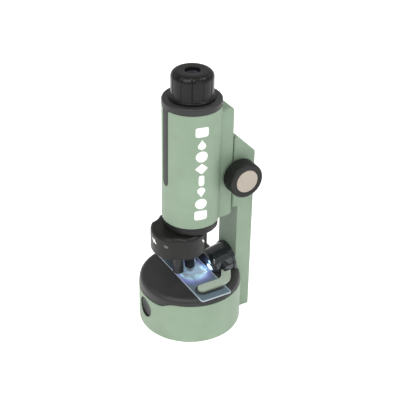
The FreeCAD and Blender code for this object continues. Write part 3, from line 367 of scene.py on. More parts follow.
def cellFilm(name):
    # battery jacket: a dark body with one lighter band at each end
    material, root = startMaterial(name)
    along = root.node("ShaderNodeSeparateXYZ", {}, {"Vector": place(root)}, out=0)
    grain = noise(root, 0.8, 3.0)
    band = abs(along).ramp(15 * mm, 15.4 * mm)
    tone = mixColour(root, band, linear(52, 60, 66), linear(176, 150, 96))
    tone = mixColour(root, grain.ramp(0.4, 0.7, 0.0, 0.12), tone, linear(220, 220, 220))
    finish(root, {
        "Base Color": tone,
        "Metallic": band.ramp(0.0, 1.0, 0.2, 0.7),
        "Roughness": grain.ramp(0.3, 0.7, 0.28, 0.42),
        "Normal": bump(root, grain, 0.2, 0.01),
    })
    return material


materials = {name: plastic(name) for name in plastics}
materials["sageFoot"] = plastic("sagePlastic", wearLow=0.5 * mm)
materials["sageFoot"].name = "sageFoot"
materials["screwSteel"] = metal("screwSteel", (178, 178, 180), 0.34)
materials["shaftSteel"] = metal("shaftSteel", (200, 200, 202), 0.22, (0.05, 1, 1))
materials["contactMetal"] = metal("contactMetal", (214, 206, 182), 0.3)
materials["rubberPad"] = rubber("rubberPad")
materials["lensGlass"] = clearGlass("lensGlass", (0.30, 0.34, 0.42), 0.02, 0.0, 0.01)
# the glow numbers of clearGlass and coverGlass are a faint painted glow
materials["clearGlass"] = clearGlass("clearGlass", (0.88, 0.95, 0.97), 0.03, 0.02)
materials["slideGlass"] = slideGlass("slideGlass")
# the slide's edges carry a painted glow: emission standing in for the lamp's light caught in the glass
materials["slideEdge"] = clearGlass("slideEdge", (0.82, 0.90, 0.96), 0.15, 0.12, 0.45)
materials["coverGlass"] = clearGlass("coverGlass", (0.90, 0.96, 1.0), 0.04, 0.05)
materials["litWindow"] = litWindow("litWindow", 3.6)
# a painted glow, not a lamp: emission for the lamp's light on the nose of the cowl
materials["lampLens"] = litWindow("lampLens", 1.1)
materials["ledResin"] = litWindow("ledResin", 7.0)
materials["tissue"] = stainedTissue("tissue")
materials["boardLaminate"] = boardLaminate("boardLaminate")
materials["cellFilm"] = cellFilm("cellFilm")
print("materials ready:", len(materials))

nodeFinish = {
    "sagePlastic": ["post_shell", "post_cover", "head_guide", "tube_shell"],
    "sageFoot": ["base_shell"],
    "blackPlastic": ["base_plate", "battery_door", "lamp_switch", "stage_cap", "collar", "objective_long",
                     "objective_medium", "objective_short", "focus_knob_right", "focus_knob_left",
                     "eyepiece_body"],
    "darkPlastic": ["nosepiece", "turret_drum", "inner_tube", "lamp_button"],
    "glossBlack": ["cowl"],
    "clipPlastic": ["clip_right", "clip_left"],
    "beigePlastic": ["knob_cap_right", "knob_cap_left"],
    "gearPlastic": ["focus_rack", "focus_pinion", "knob_washers"],
    "screwSteel": ["base_screws", "battery_door_screw", "board_screws", "cowl_screws", "rear_screws",
                   "post_foot_screws", "turret_screw"],
    "shaftSteel": ["focus_shaft"],
    "contactMetal": ["battery_contacts"],
    "rubberPad": ["foot_pads"],
    "lensGlass": ["tube_lens", "objective_lens_long", "objective_lens_medium",
                  "objective_lens_short", "eyepiece_lens", "field_lens"],
    "clearGlass": ["specimen_slide", "cover_slip"],
    "litWindow": ["stage_window"],
    "ledResin": ["lamp_led"],
    "tissue": ["specimen"],
    "boardLaminate": ["circuit_board"],
    "cellFilm": ["battery_cells"],
}
for finishName, names in nodeFinish.items():
    for name in names:
        for slot in nodes[name].material_slots:
            slot.material = materials[finishName]


def arcPoints(across, height, radius, start, end, steps):
    # points of (radius, height) round an arc, angles in degrees
    points = []
    for index in range(steps + 1):
        angle = math.radians(start + (end - start) * index / steps)
        points.append((across + radius * math.cos(angle), height + radius * math.sin(angle)))
    return points


def lathe(outline, turns):
    # closed ring of (radius, height) points turned about Z
    build = bmesh.new()
    rings = []
    for radius, height in outline:
        if radius < 1e-7:
            rings.append([build.verts.new((0, 0, height))])
            continue
        ring = []
        for index in range(turns):
            angle = 2 * math.pi * index / turns
            ring.append(build.verts.new((radius * math.cos(angle), radius * math.sin(angle), height)))
        rings.append(ring)
    for first, second in zip(rings, rings[1:] + rings[:1]):
        if len(first) == 1 and len(second) == 1:
            continue
        for index in range(turns):
            after = (index + 1) % turns
            corners = [first[index % len(first)], first[after % len(first)],
                       second[after % len(second)], second[index % len(second)]]
            unique = []
            for corner in corners:
                if corner not in unique:
                    unique.append(corner)
            build.faces.new(unique)
    bmesh.ops.recalc_face_normals(build, faces=build.faces)
    return build


def bridge(build, rings):
    # walls between rings of the same number of points
    faces = []
    for first, second in zip(rings, rings[1:]):
        for index in range(len(first)):
            after = (index + 1) % len(first)
            faces.append(build.faces.new((first[index], first[after], second[after], second[index])))
    return faces


def toPiece(name, build, material, sharp=35):
    mesh = bpy.data.meshes.new(name)
    build.to_mesh(mesh)
    build.free()
    mesh.materials.append(material)
    return fromMesh(name, mesh, sharp)


def fromMesh(name, mesh, sharp=35):
    mesh.polygons.foreach_set("use_smooth", [True] * len(mesh.polygons))
    mesh.set_sharp_from_angle(angle=math.radians(sharp))
    piece = bpy.data.objects.new(name, mesh)
    bpy.context.scene.collection.objects.link(piece)
    return piece


def settle(piece, body, slot, *covered):
    # hand a finished piece to the body that it moves with
    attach(piece, body)
    if covered:
        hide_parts(*covered)
    return piece


def bakeNodes(piece, tree, values):
    modifier = piece.modifiers.new(tree.name, "NODES")
    modifier.node_group = tree
    for item in tree.interface.items_tree:
        if item.in_out == "INPUT" and item.name in values:
            modifier[item.identifier] = values[item.name]
    graph = bpy.context.evaluated_depsgraph_get()
    graph.update()
    mesh = bpy.data.meshes.new_from_object(piece.evaluated_get(graph))
    piece.modifiers.remove(modifier)
    mesh.name = piece.name
    old = piece.data
    piece.data = mesh
    bpy.data.meshes.remove(old)
    mesh.polygons.foreach_set("use_smooth", [True] * len(mesh.polygons))
    return piece


def startNodes(name, inputs):
    tree = bpy.data.node_groups.new(name, "GeometryNodeTree")
    tree.interface.new_socket("Geometry", in_out="INPUT", socket_type="NodeSocketGeometry")
    for label, kind in inputs:
        tree.interface.new_socket(label, in_out="INPUT", socket_type="NodeSocket" + kind)
    tree.interface.new_socket("Geometry", in_out="OUTPUT", socket_type="NodeSocketGeometry")
    entry = tree.nodes.new("NodeGroupInput")
    sockets = {socket.name: Wire(tree, socket) for socket in entry.outputs if socket.name}
    return Wire(tree), sockets


def endNodes(root, geometry, material):
    real = root.node("GeometryNodeRealizeInstances", {}, {"Geometry": geometry})
    done = root.node("GeometryNodeSetMaterial", {}, {"Geometry": real, "Material": material})
    root.node("NodeGroupOutput", {}, {"Geometry": done})
    return root.tree


def flutingTree():
    # pushes a turned surface inwards in a ring of evenly spaced grooves
    root, given = startNodes("fluting", [
        ("Count", "Float"), ("Depth", "Float"), ("Sharpness", "Float"), ("Low", "Float"),
        ("High", "Float"), ("Fade", "Float"), ("Inner", "Float"), ("Material", "Material"),
    ])
    spot = root.node("GeometryNodeInputPosition")
    x = root.node("ShaderNodeSeparateXYZ", {}, {"Vector": spot}, out=0)
    y = Wire(root.tree, x.socket.node.outputs[1])
    z = Wire(root.tree, x.socket.node.outputs[2])
    angle = y.maths("ARCTAN2", x)
    wave = ((angle * given["Count"]).maths("COSINE") * 0.5 + 0.5) ** given["Sharpness"]
    flat = root.node("ShaderNodeCombineXYZ", {}, {"X": x, "Y": y})
    reach = root.node("ShaderNodeVectorMath", {"operation": "LENGTH"}, {0: flat}, out=1)
    above = ((z - given["Low"]) / given["Fade"]).maths("ADD", 0.0, clamp=True)
    below = ((given["High"] - z) / given["Fade"]).maths("ADD", 0.0, clamp=True)
    amount = wave * above * below * (reach > given["Inner"]) * given["Depth"]
    inward = root.node("ShaderNodeVectorMath", {"operation": "NORMALIZE"}, {0: flat})
    offset = root.node("ShaderNodeVectorMath", {"operation": "SCALE"}, {0: inward, "Scale": 0.0 - amount})
    moved = root.node("GeometryNodeSetPosition", {}, {"Geometry": given["Geometry"], "Offset": offset})
    return endNodes(root, moved, given["Material"])


def copiesTree():
    # puts one copy of a template object on every point, all turned the same way
    root, given = startNodes("copies", [
        ("Template", "Object"), ("Turn", "Vector"), ("Wobble", "Float"), ("Seed", "Int"),
        ("Material", "Material"),
    ])
    template = root.node("GeometryNodeObjectInfo", {"transform_space": "ORIGINAL"},
                         {"Object": given["Template"]}, out="Geometry")
    spin = root.node("FunctionNodeRandomValue", {"data_type": "FLOAT"},
                     {"Min": 0.0 - given["Wobble"], "Max": given["Wobble"], "Seed": given["Seed"]}, out=1)
    turn = root.node("FunctionNodeEulerToRotation", {}, {"Euler": given["Turn"]})
    own = root.node("ShaderNodeCombineXYZ", {}, {"Z": spin})
    both = root.node("FunctionNodeRotateRotation", {"rotation_space": "LOCAL"},
                     {"Rotation": turn,
                      "Rotate By": root.node("FunctionNodeEulerToRotation", {}, {"Euler": own})})
    copies = root.node("GeometryNodeInstanceOnPoints", {},
                       {"Points": given["Geometry"], "Instance": template, "Rotation": both})
    return endNodes(root, copies, given["Material"])


fluting = flutingTree()
copies = copiesTree()


eyepieceFacts = {
    "flutes": 12, "depth": 1.0 * mm, "narrow": 55.0, "fade": 1.2 * mm,
    "edge": 4.8 * mm, "flange": 1.3 * mm, "flangeHeight": 1.8 * mm, "fillet": 0.6 * mm, "lip": 0.5 * mm,
    "recess": 5.6 * mm, "recessDepth": 2.6 * mm, "lens": 4.6 * mm, "lensGap": 0.05 * mm, "lensLedge": 1 * mm,
    "ledgeThick": 2 * mm, "barrel": 11.5 * mm, "bore": 9.7 * mm, "gap": 0.15 * mm,
}


def makeEyepiece():
    facts = eyepieceFacts
    low, high = nodeBox("eyepiece_body")
    top = high.z
    flange = (high.x - low.x) / 2
    bottom = nodeBox("collar")[1].z + facts["gap"]
    head = flange - facts["flange"]
    wall = bottom + facts["flangeHeight"]
    seat = top - facts["recessDepth"]
    lensLow = nodeBox("eyepiece_lens")[0].z
    lensHole = facts["lens"] + facts["lensGap"]
    ledge = facts["lens"] - facts["lensLedge"]
    edge, fillet, lip = facts["edge"], facts["fillet"], facts["lip"]
    outline = [(lensHole, lensLow), (lensHole, seat), (facts["recess"], seat)]
    outline += arcPoints(facts["recess"] + lip, top - lip, lip, 180, 90, 5)
    outline += arcPoints(head - edge, top - edge, edge, 90, 0, 14)
    for index in range(1, 10):
        outline.append((head, top - edge - (top - edge - wall - fillet) * index / 10))
    outline += arcPoints(head + fillet, wall + fillet, fillet, 180, 270, 5)
    outline += arcPoints(flange - fillet, wall - fillet, fillet, 90, 0, 5)
    outline += [(flange, bottom), (facts["barrel"], bottom), (facts["barrel"], low.z), (facts["bore"], low.z)]
    outline += [(facts["bore"], lensLow - facts["ledgeThick"]), (ledge, lensLow - facts["ledgeThick"]),
                (ledge, lensLow)]
    piece = toPiece("eyepieceHead", lathe(outline, 288), materials["eyepieceBlack"])
    bakeNodes(piece, fluting, {
        "Count": float(facts["flutes"]), "Depth": facts["depth"], "Sharpness": facts["narrow"],
        "Low": wall + 0.4 * mm, "High": top - 0.2 * mm, "Fade": facts["fade"], "Inner": head - edge * 0.8,
        "Material": materials["eyepieceBlack"],
    })
    return settle(piece, "eyepiece", "black_plastic", "eyepiece_body")


makeEyepiece()
print("eyepiece done")


knobFacts = {"ribs": 72, "depth": 0.28 * mm, "edge": 1.5 * mm, "seat": 9.15 * mm, "seatDepth": 1.4 * mm,
             "hub": 5.5 * mm, "lip": 0.5 * mm, "gap": 1.85 * mm}


def makeKnob(side):
    facts = knobFacts
    name = "right" if side > 0 else "left"
    low, high = nodeBox("focus_knob_" + name)
    radius = (high.y - low.y) / 2
    outer = max(abs(low.x), abs(high.x))
    hubEnd = min(abs(low.x), abs(high.x))
    inner = nodeBox("post_shell")[1].x + facts["gap"]
    edge = facts["edge"]
    outline = [(0, outer - facts["seatDepth"]), (facts["seat"], outer - facts["seatDepth"])]
    outline += arcPoints(facts["seat"] + facts["lip"], outer - facts["lip"], facts["lip"], 180, 90, 4)
    outline += arcPoints(radius - edge, outer - edge, edge, 90, 0, 8)
    for index in range(1, 8):
        outline.append((radius, outer - edge - (outer - inner - 2 * edge) * index / 8))
    outline += arcPoints(radius - edge, inner + edge, edge, 0, -90, 8)
    outline += [(facts["hub"], inner), (facts["hub"], hubEnd), (0, hubEnd)]
    piece = toPiece("knobGrip_" + name, lathe(outline, 432), materials["darkPlastic"])
    bakeNodes(piece, fluting, {
        "Count": float(facts["ribs"]), "Depth": facts["depth"], "Sharpness": 2.0,
        "Low": inner + edge * 0.6, "High": outer - edge * 0.6, "Fade": 1.0 * mm, "Inner": radius - edge,
        "Material": materials["darkPlastic"],
    })
    centre = (low + high) / 2
    turn = Matrix.Rotation(math.radians(90 * side), 4, "Y")
    piece.data.transform(Matrix.Translation((0, centre.y, centre.z)) @ turn)
    return settle(piece, "knobs", "black_plastic", "focus_knob_" + name)


for side in (1, -1):
    makeKnob(side)
print("knobs done")


objectiveFacts = {
    "barrel": 4.2 * mm, "chamfer": 0.8 * mm, "groove": 0.18 * mm, "grooveHalf": 0.3 * mm,
    "grooves": (0.25, 0.32, 0.39), "collar": 4.9 * mm, "collarHeight": 1.6 * mm, "collarEdge": 0.3 * mm,
    "knurls": 40, "knurlDepth": 0.22 * mm, "bore": 2.0 * mm, "seat": 2.45 * mm, "seatDepth": 1.7 * mm,
    "spigot": 3.7 * mm, "gap": 0.15 * mm,
}


def makeObjective(name):
    facts = objectiveFacts
    low, high = nodeBox("objective_" + name)
    centre = middle("objective_" + name)
    under = nodeBox("turret_drum")[0].z - facts["gap"]
    tip = low.z
    chamfer, barrel, collar, edge = facts["chamfer"], facts["barrel"], facts["collar"], facts["collarEdge"]
    outline = [(facts["seat"], tip), (barrel - chamfer, tip), (barrel, tip + chamfer)]
    # turned grooves up the barrel
    groove, half = barrel - facts["groove"], facts["grooveHalf"]
    for share in facts["grooves"]:
        height = tip + (under - tip) * share
        outline += [(barrel, height - half), (groove, height - half / 2),
                    (groove, height + half / 2), (barrel, height + half)]
    collarLow = under - facts["collarHeight"]
    outline += [(barrel, collarLow), (collar - edge, collarLow)]
    for index in range(5):
        outline.append((collar, collarLow + edge + (facts["collarHeight"] - 0.5 * mm) * index / 4))
    outline += [(collar - 0.2 * mm, under), (facts["spigot"], under), (facts["spigot"], high.z),
                (facts["bore"], high.z), (facts["bore"], tip + facts["seatDepth"]),
                (facts["seat"], tip + facts["seatDepth"])]
    piece = toPiece("objectiveBarrel_" + name, lathe(outline, 240), materials["objectiveBlack"], 30)
    bakeNodes(piece, fluting, {
        "Count": float(facts["knurls"]), "Depth": facts["knurlDepth"], "Sharpness": 1.5,
        "Low": collarLow, "High": under, "Fade": 0.3 * mm, "Inner": facts["barrel"] + 0.2 * mm,
        "Material": materials["objectiveBlack"],
    })
    piece.data.transform(Matrix.Translation((centre.x, centre.y, 0)))
    return settle(piece, "turret", "black_plastic", "objective_" + name)


for name in ("long", "medium", "short"):
    makeObjective(name)
print("objectives done")


def softened(node, name, width, material, body, slot, segments=3, sharp=50):
    # the CAD shape with its sharp edges eased
    build = bmesh.new()
    build.from_mesh(nodes[node].data)
    bmesh.ops.remove_doubles(build, verts=build.verts, dist=1e-6)
    bmesh.ops.dissolve_limit(build, angle_limit=math.radians(1.0), verts=build.verts, edges=build.edges)
    edges = []
    for edge in build.edges:
        if len(edge.link_faces) == 2 and edge.calc_face_angle(0) > math.radians(sharp):
            edges.append(edge)
    bmesh.ops.bevel(build, geom=edges, offset=width, segments=segments, profile=0.5, affect="EDGES",
                    clamp_overlap=True)
    bmesh.ops.recalc_face_normals(build, faces=build.faces)
    piece = toPiece(name, build, material, 30)
    return settle(piece, body, slot, node)


# the last four entries size a thin dark sheet under the finger: a painted shadow of the clip on the slide
clipFacts = {"edge": 0.45 * mm, "hub": 3.5 * mm, "width": 7.4 * mm, "pad": 1.9 * mm, "padThick": 0.06 * mm,
             "padGap": 0.02 * mm, "padEnd": 11.0 * mm}


def makeClip(side):
    # the hub and pin are black, the arm and finger green, with a thin dark sheet under the finger as a
    # painted shadow of the clip on the slide
    facts = clipFacts
    name = "clip_right" if side > 0 else "clip_left"
    piece = softened(name, "stageClip" + name[4:], facts["edge"], materials["clipPlastic"], name,
                     "clip_plastic")
    piece.data.materials.append(materials["glossBlack"])
    hubEnd = nodeBox("cowl")[1].x + facts["hub"]
    for face in piece.data.polygons:
        if side * face.center.x < hubEnd:
            face.material_index = 1
    low, high = nodeBox(name)
    half = facts["width"] / 2
    finger = max(abs(low.x), abs(high.x)) - half
    reach = half + facts["pad"]
    outline = arcPoints(side * finger, low.y + half, reach, 180, 360, 24)
    outline += [(side * finger + reach, facts["padEnd"]), (side * finger - reach, facts["padEnd"])]
    top = low.z - facts["padGap"]
    build = bmesh.new()
    layers = []
    for height in (top - facts["padThick"], top):
        layers.append([build.verts.new((x, y, height)) for x, y in outline])
    build.faces.new(layers[0])
    build.faces.new(layers[1])
    bridge(build, layers)
    bmesh.ops.recalc_face_normals(build, faces=build.faces)
    settle(toPiece("clipPad" + name[4:], build, materials["rubberPad"]), name, "rubber_pad")


for side in (1, -1):
    makeClip(side)
print("clips done")


slideFacts = {"corner": 2.0 * mm, "bevel": 0.16 * mm, "coverEdge": 0.04 * mm}


def roundedOutline(low, high, corner, inset, steps=8):
    # corners of a rounded rectangle, moved inwards by the inset
    points = []
    radius = corner - inset
    spots = [(high.x, high.y, 0), (low.x, high.y, 90), (low.x, low.y, 180), (high.x, low.y, 270)]
    for x, y, start in spots:
        centreX = x - corner if start in (0, 270) else x + corner
        centreY = y - corner if start in (0, 90) else y + corner
        points += arcPoints(centreX, centreY, radius, start, start + 90, steps)
    return points


def makeSlide():
    facts = slideFacts
    low, high = nodeBox("specimen_slide")
    bevel = facts["bevel"]
    levels = [(low.z, bevel), (low.z + bevel, 0), (high.z - bevel, 0), (high.z, bevel)]
    build = bmesh.new()
    rings = []
    for height, inset in levels:
        outline = roundedOutline(low, high, facts["corner"], inset)
        rings.append([build.verts.new((x, y, height)) for x, y in outline])
    for face in bridge(build, rings):
        face.material_index = 1
    build.faces.new(rings[-1])
    build.faces.new(list(reversed(rings[0])))
    bmesh.ops.recalc_face_normals(build, faces=build.faces)
    piece = toPiece("glassSlide", build, materials["slideGlass"], 20)
    piece.data.materials.append(materials["slideEdge"])
    return settle(piece, "slide", "clear_glass", "specimen_slide")


# painted glow standing in for the lamp's light on the nose of the cowl: a shallow glowing dome over the
# slide's back edge
lampLens = {"across": 8.0 * mm, "tall": 4.0 * mm, "x": 6.2 * mm, "z": 2.4 * mm, "bulge": 0.7 * mm,
            "sunk": 1.2 * mm}


def makePaintedNoseGlow():
    facts = lampLens
    nose = nodeBox("cowl")[0].y
    height = nodeBox("stage_cap")[1].z + facts["z"]
    # share of the glowing dome's width and place along Y, from the hidden rim to the middle of the dome
    levels = [(1.0, nose + facts["sunk"])]
    for step in range(6):
        tilt = math.radians(15 * step)
        levels.append((math.cos(tilt), nose - facts["bulge"] * math.sin(tilt)))
    turns = 48
    build = bmesh.new()
    rings = []
    for share, depth in levels:
        ring = []
        for index in range(turns):
            angle = 2 * math.pi * index / turns
            ring.append(build.verts.new((facts["x"] + facts["across"] / 2 * share * math.cos(angle), depth,
                                         height + facts["tall"] / 2 * share * math.sin(angle))))
        rings.append(ring)
    bridge(build, rings)
    build.faces.new(rings[0])
    build.faces.new(rings[-1])
    bmesh.ops.recalc_face_normals(build, faces=build.faces)
    return settle(toPiece("lampLens", build, materials["lampLens"]), "base", "frosted_window")


makeSlide()
makePaintedNoseGlow()
softened("cover_slip", "coverGlass", slideFacts["coverEdge"], materials["coverGlass"], "slide",
         "clear_glass", 1)
print("slide done")


def wrapShape(build, outlineWidth, rows, columns, wrap, lift, thick):
    # a closed thin shell laid on a cylinder; wrap turns (across, along, height) into a point
    count = len(rows)
    layers = []
    for height in (lift, lift + thick):
        grid = []
        for along in rows:
            half = max(outlineWidth(along), 1e-6)
            line = []
            for index in range(columns + 1):
                across = half * (2 * index / columns - 1)
                line.append(build.verts.new(wrap(across, along, height)))
            grid.append(line)
        layers.append(grid)
    inner, outer = layers
    for row in range(count - 1):
        for index in range(columns):
            build.faces.new((outer[row][index], outer[row][index + 1],
                             outer[row + 1][index + 1], outer[row + 1][index]))
            build.faces.new((inner[row][index], inner[row + 1][index],
                             inner[row + 1][index + 1], inner[row][index + 1]))
        for index in (0, columns):
            build.faces.new((outer[row][index], outer[row + 1][index],
                             inner[row + 1][index], inner[row][index]))
    for row in (0, count - 1):
        for index in range(columns):
            build.faces.new((outer[row][index], inner[row][index],
                             inner[row][index + 1], outer[row][index + 1]))


# plain shapes up the side of the tube: half width, half length, power of the outline, taper
tubeMarks = {
    "angle": 80.0, "low": 104.6 * mm, "pitch": 9.85 * mm, "lift": 0.01 * mm, "thick": 0.05 * mm,
    "shapes": [(5.0, 3.9, 6.0, 0.0), (4.6, 4.3, 2.0, 0.0), (5.0, 4.1, 1.6, 0.9), (2.2, 4.3, 4.0, 0.0),
               (4.9, 4.3, 1.05, 0.0), (4.6, 4.4, 2.0, 0.0), (5.0, 4.0, 1.6, -0.9), (5.0, 3.8, 6.0, 0.0)],
}


def makeTubeMarks():
    facts = tubeMarks
    radius = nodeBox("tube_shell")[1].x
    around = math.radians(facts["angle"])
    build = bmesh.new()
    for number, (halfWidth, halfLength, power, taper) in enumerate(facts["shapes"]):
        halfWidth *= mm
        halfLength *= mm
        centre = facts["low"] + facts["pitch"] * number

        def widthAt(along, halfWidth=halfWidth, halfLength=halfLength, power=power, taper=taper):
            share = min(abs(along) / halfLength, 1.0)
            lean = 1 - 0.5 * abs(taper) + 0.5 * taper * along / halfLength
            return halfWidth * (1 - share ** power) ** (1 / power) * lean

        def wrap(across, along, height, centre=centre):
            angle = around + across / radius
            reach = radius + height
            return (reach * math.sin(angle), -reach * math.cos(angle), centre + along)

        rows = [-halfLength * math.cos(math.pi * step / 24) for step in range(25)]
        wrapShape(build, widthAt, rows, 12, wrap, facts["lift"], facts["thick"])
    bmesh.ops.remove_doubles(build, verts=build.verts, dist=1e-7)
    bmesh.ops.recalc_face_normals(build, faces=build.faces)
    piece = toPiece("tubeMarks", build, materials["whiteInk"])
    return settle(piece, "carriage", "cap_plastic")


# slanted strokes on each lobe of the turret, and a raised oval between two of them
turretMarks = {"radius": 21.6 * mm, "height": 78.8 * mm,
               "strokeHalf": 0.7 * mm, "strokeLength": 2.1 * mm, "spread": 2.4 * mm,
               "slant": 38.0, "lift": 0.01 * mm, "thick": 0.06 * mm,
               "lobes": [(2.0, 2), (120.0, 1), (240.0, 3)], "ovals": [35.0, 155.0, 275.0],
               "ovalHalf": 1.9 * mm, "ovalLength": 1.1 * mm, "ovalSlant": -12, "ovalThick": 0.16 * mm}


def makeTurretMarks():
    facts = turretMarks
    axis = middle("turret_screw")
    radius = facts["radius"]

    def wrapAt(angle, slant, offset):
        around = math.radians(angle)
        cosine, sine = math.cos(math.radians(slant)), math.sin(math.radians(slant))

        def wrap(across, along, height):
            u = offset + across * cosine - along * sine
            v = across * sine + along * cosine
            turn = around + u / radius
            reach = radius + height
            return (axis.x + reach * math.sin(turn), axis.y - reach * math.cos(turn), facts["height"] + v)
        return wrap

    strokes = bmesh.new()
    length = facts["strokeLength"]
    rows = [-length * math.cos(math.pi * step / 12) for step in range(13)]
    half = facts["strokeHalf"]
    for angle, number in facts["lobes"]:
        for index in range(number):
            offset = (index - (number - 1) / 2) * facts["spread"]
            wrapShape(strokes, lambda along: half * (1 - min(abs(along) / length, 1) ** 6) ** (1 / 6),
                      rows, 4, wrapAt(angle, facts["slant"], offset), facts["lift"], facts["thick"])
    bmesh.ops.remove_doubles(strokes, verts=strokes.verts, dist=1e-7)
    bmesh.ops.recalc_face_normals(strokes, faces=strokes.faces)
    settle(toPiece("turretStrokes", strokes, materials["whiteInk"]), "turret", "cap_plastic")
    ovals = bmesh.new()
    wide, tall = facts["ovalHalf"], facts["ovalLength"]
    for angle in facts["ovals"]:
        wrapShape(ovals, lambda along: wide * math.sqrt(max(1 - (along / tall) ** 2, 0)),
                  [-tall * math.cos(math.pi * step / 12) for step in range(13)], 10,
                  wrapAt(angle, facts["ovalSlant"], 0), facts["lift"], facts["ovalThick"])
    bmesh.ops.remove_doubles(ovals, verts=ovals.verts, dist=1e-7)
    bmesh.ops.recalc_face_normals(ovals, faces=ovals.faces)
    settle(toPiece("turretOvals", ovals, materials["greyMark"]), "turret", "black_plastic")


makeTubeMarks()
makeTurretMarks()
print("marks done")


screwFacts = {"radius": 2.4 * mm, "head": 1.4 * mm, "edge": 0.3 * mm, "cross": 1.45 * mm, "arm": 0.38 * mm,
              "recess": 0.9 * mm, "shank": 1.22 * mm, "wobble": 40}


def makeScrewTemplate(length):
    # head up at the origin's plane, shank down
    facts = screwFacts
    build = bmesh.new()
    turns = 48
    rings = []
    levels = [(facts["shank"], -length), (facts["shank"], -facts["head"]), (facts["radius"], -facts["head"]),
              (facts["radius"], -facts["edge"]),
              (facts["radius"] - facts["edge"] * 0.35, -facts["edge"] * 0.35),
              (facts["radius"] - facts["edge"], 0)]
    for radius, height in levels:
        rings.append([build.verts.new((radius * math.cos(2 * math.pi * index / turns),
                                       radius * math.sin(2 * math.pi * index / turns), height))
                      for index in range(turns)])
    bridge(build, rings)
    build.faces.new(list(reversed(rings[0])))
    arm, cross = facts["arm"], facts["cross"]
    corners = []
    for quarter in range(4):
        turn = Matrix.Rotation(math.radians(90 * quarter), 2)
        for x, y in ((cross, -arm), (cross, arm), (arm, arm)):
            corners.append(turn @ Vector((x, y)))
    top = [build.verts.new((corner.x, corner.y, 0)) for corner in corners]
    deep = [build.verts.new((corner.x * 0.72, corner.y * 0.72, -facts["recess"])) for corner in corners]
    for index in range(len(top)):
        after = (index + 1) % len(top)
        build.faces.new((top[after], top[index], deep[index], deep[after]))
    build.faces.new(deep)
    loops = [edge for edge in build.edges if len(edge.link_faces) == 1]
    bmesh.ops.triangle_fill(build, edges=loops, use_beauty=True)
    bmesh.ops.recalc_face_normals(build, faces=build.faces)
    mesh = bpy.data.meshes.new("screwTemplate")
    build.to_mesh(mesh)
    build.free()
    return bpy.data.objects.new("screwTemplate", mesh)


def islands(node):
    # one box for each separate solid of a CAD node
    build = bmesh.new()
    build.from_mesh(nodes[node].data)
    bmesh.ops.remove_doubles(build, verts=build.verts, dist=1e-6)
    build.verts.ensure_lookup_table()
    left = set(build.verts)
    boxes = []
    while left:
        heap = [left.pop()]
        low = heap[0].co.copy()
        high = heap[0].co.copy()
        while heap:
            vertex = heap.pop()
            for axis in range(3):
                low[axis] = min(low[axis], vertex.co[axis])
                high[axis] = max(high[axis], vertex.co[axis])
            for edge in vertex.link_edges:
                other = edge.other_vert(vertex)
                if other in left:
                    left.discard(other)
                    heap.append(other)
        boxes.append((low, high))
    build.free()
    return sorted(boxes, key=lambda pair: tuple(round(value, 6) for value in pair[0]))


# node, body, way that the head faces, turn of the template in degrees, seed
screwRows = [
    ("rear_screws", "base", (0, 1, 0), (-90, 0, 0), 11),
    ("base_screws", "base", (0, 0, -1), (180, 0, 0), 12),
    ("battery_door_screw", "base", (0, 0, -1), (180, 0, 0), 13),
]


def makeScrews(node, body, way, turn, seed):
    points = []
    length = 0
    for low, high in islands(node):
        centre = (low + high) / 2
        axis = [abs(value) for value in way].index(1)
        length = high[axis] - low[axis]
        centre[axis] = high[axis] if way[axis] > 0 else low[axis]
        points.append(centre)
    template = makeScrewTemplate(length)
    mesh = bpy.data.meshes.new("crossHead_" + node)
    mesh.from_pydata(points, [], [])
    piece = bpy.data.objects.new("crossHead_" + node, mesh)
    bpy.context.scene.collection.objects.link(piece)
    bakeNodes(piece, copies, {
        "Template": template, "Turn": tuple(math.radians(value) for value in turn),
        "Wobble": math.radians(screwFacts["wobble"]), "Seed": seed, "Material": materials["screwSteel"],
    })
    piece.data.set_sharp_from_angle(angle=math.radians(30))
    bpy.data.objects.remove(template)
    return settle(piece, body, "screw_steel", node)


for row in screwRows:
    makeScrews(*row)
print("screws done")


linerFacts = {"gap": 0.29 * mm, "flange": 1.2 * mm, "thick": 0.2 * mm, "depth": 2.2 * mm, "rim": 0.25 * mm,
              "start": 0.9 * mm}


def makeButtonLiner():
    facts = linerFacts
    low, high = nodeBox("lamp_button")
    centre = (low + high) / 2
    drum = nodeBox("base_shell")[1].x
    radius = high.x - facts["flange"] + facts["gap"]
    thick, depth, start = facts["thick"], facts["depth"], facts["start"]
    outline = [(radius, start), (radius, depth), (radius - thick, depth), (radius - thick, start)]
    build = lathe(outline, 96)
    for vertex in build.verts:
        # the front rim follows the drum's round face
        if vertex.co.z < start * 1.1:
            vertex.co.z = facts["rim"] + drum - math.sqrt(drum ** 2 - vertex.co.x ** 2)
    move = Matrix.Translation((0, -drum, centre.z)) @ Matrix.Rotation(math.radians(-90), 4, "X")
    bmesh.ops.transform(build, verts=build.verts, matrix=move)
    bmesh.ops.recalc_face_normals(build, faces=build.faces)
    piece = toPiece("buttonLiner", build, materials["blackPlastic"])
    return settle(piece, "base", "black_plastic")


makeButtonLiner()
print("liner done")


view = {
    "azimuth": 59.4, "elevation": 31.6, "distance": 0.790, "lens": 94.3, "roll": 1.05,
    "aimSide": 6.9 * mm, "aimHeight": 105.2 * mm,
}


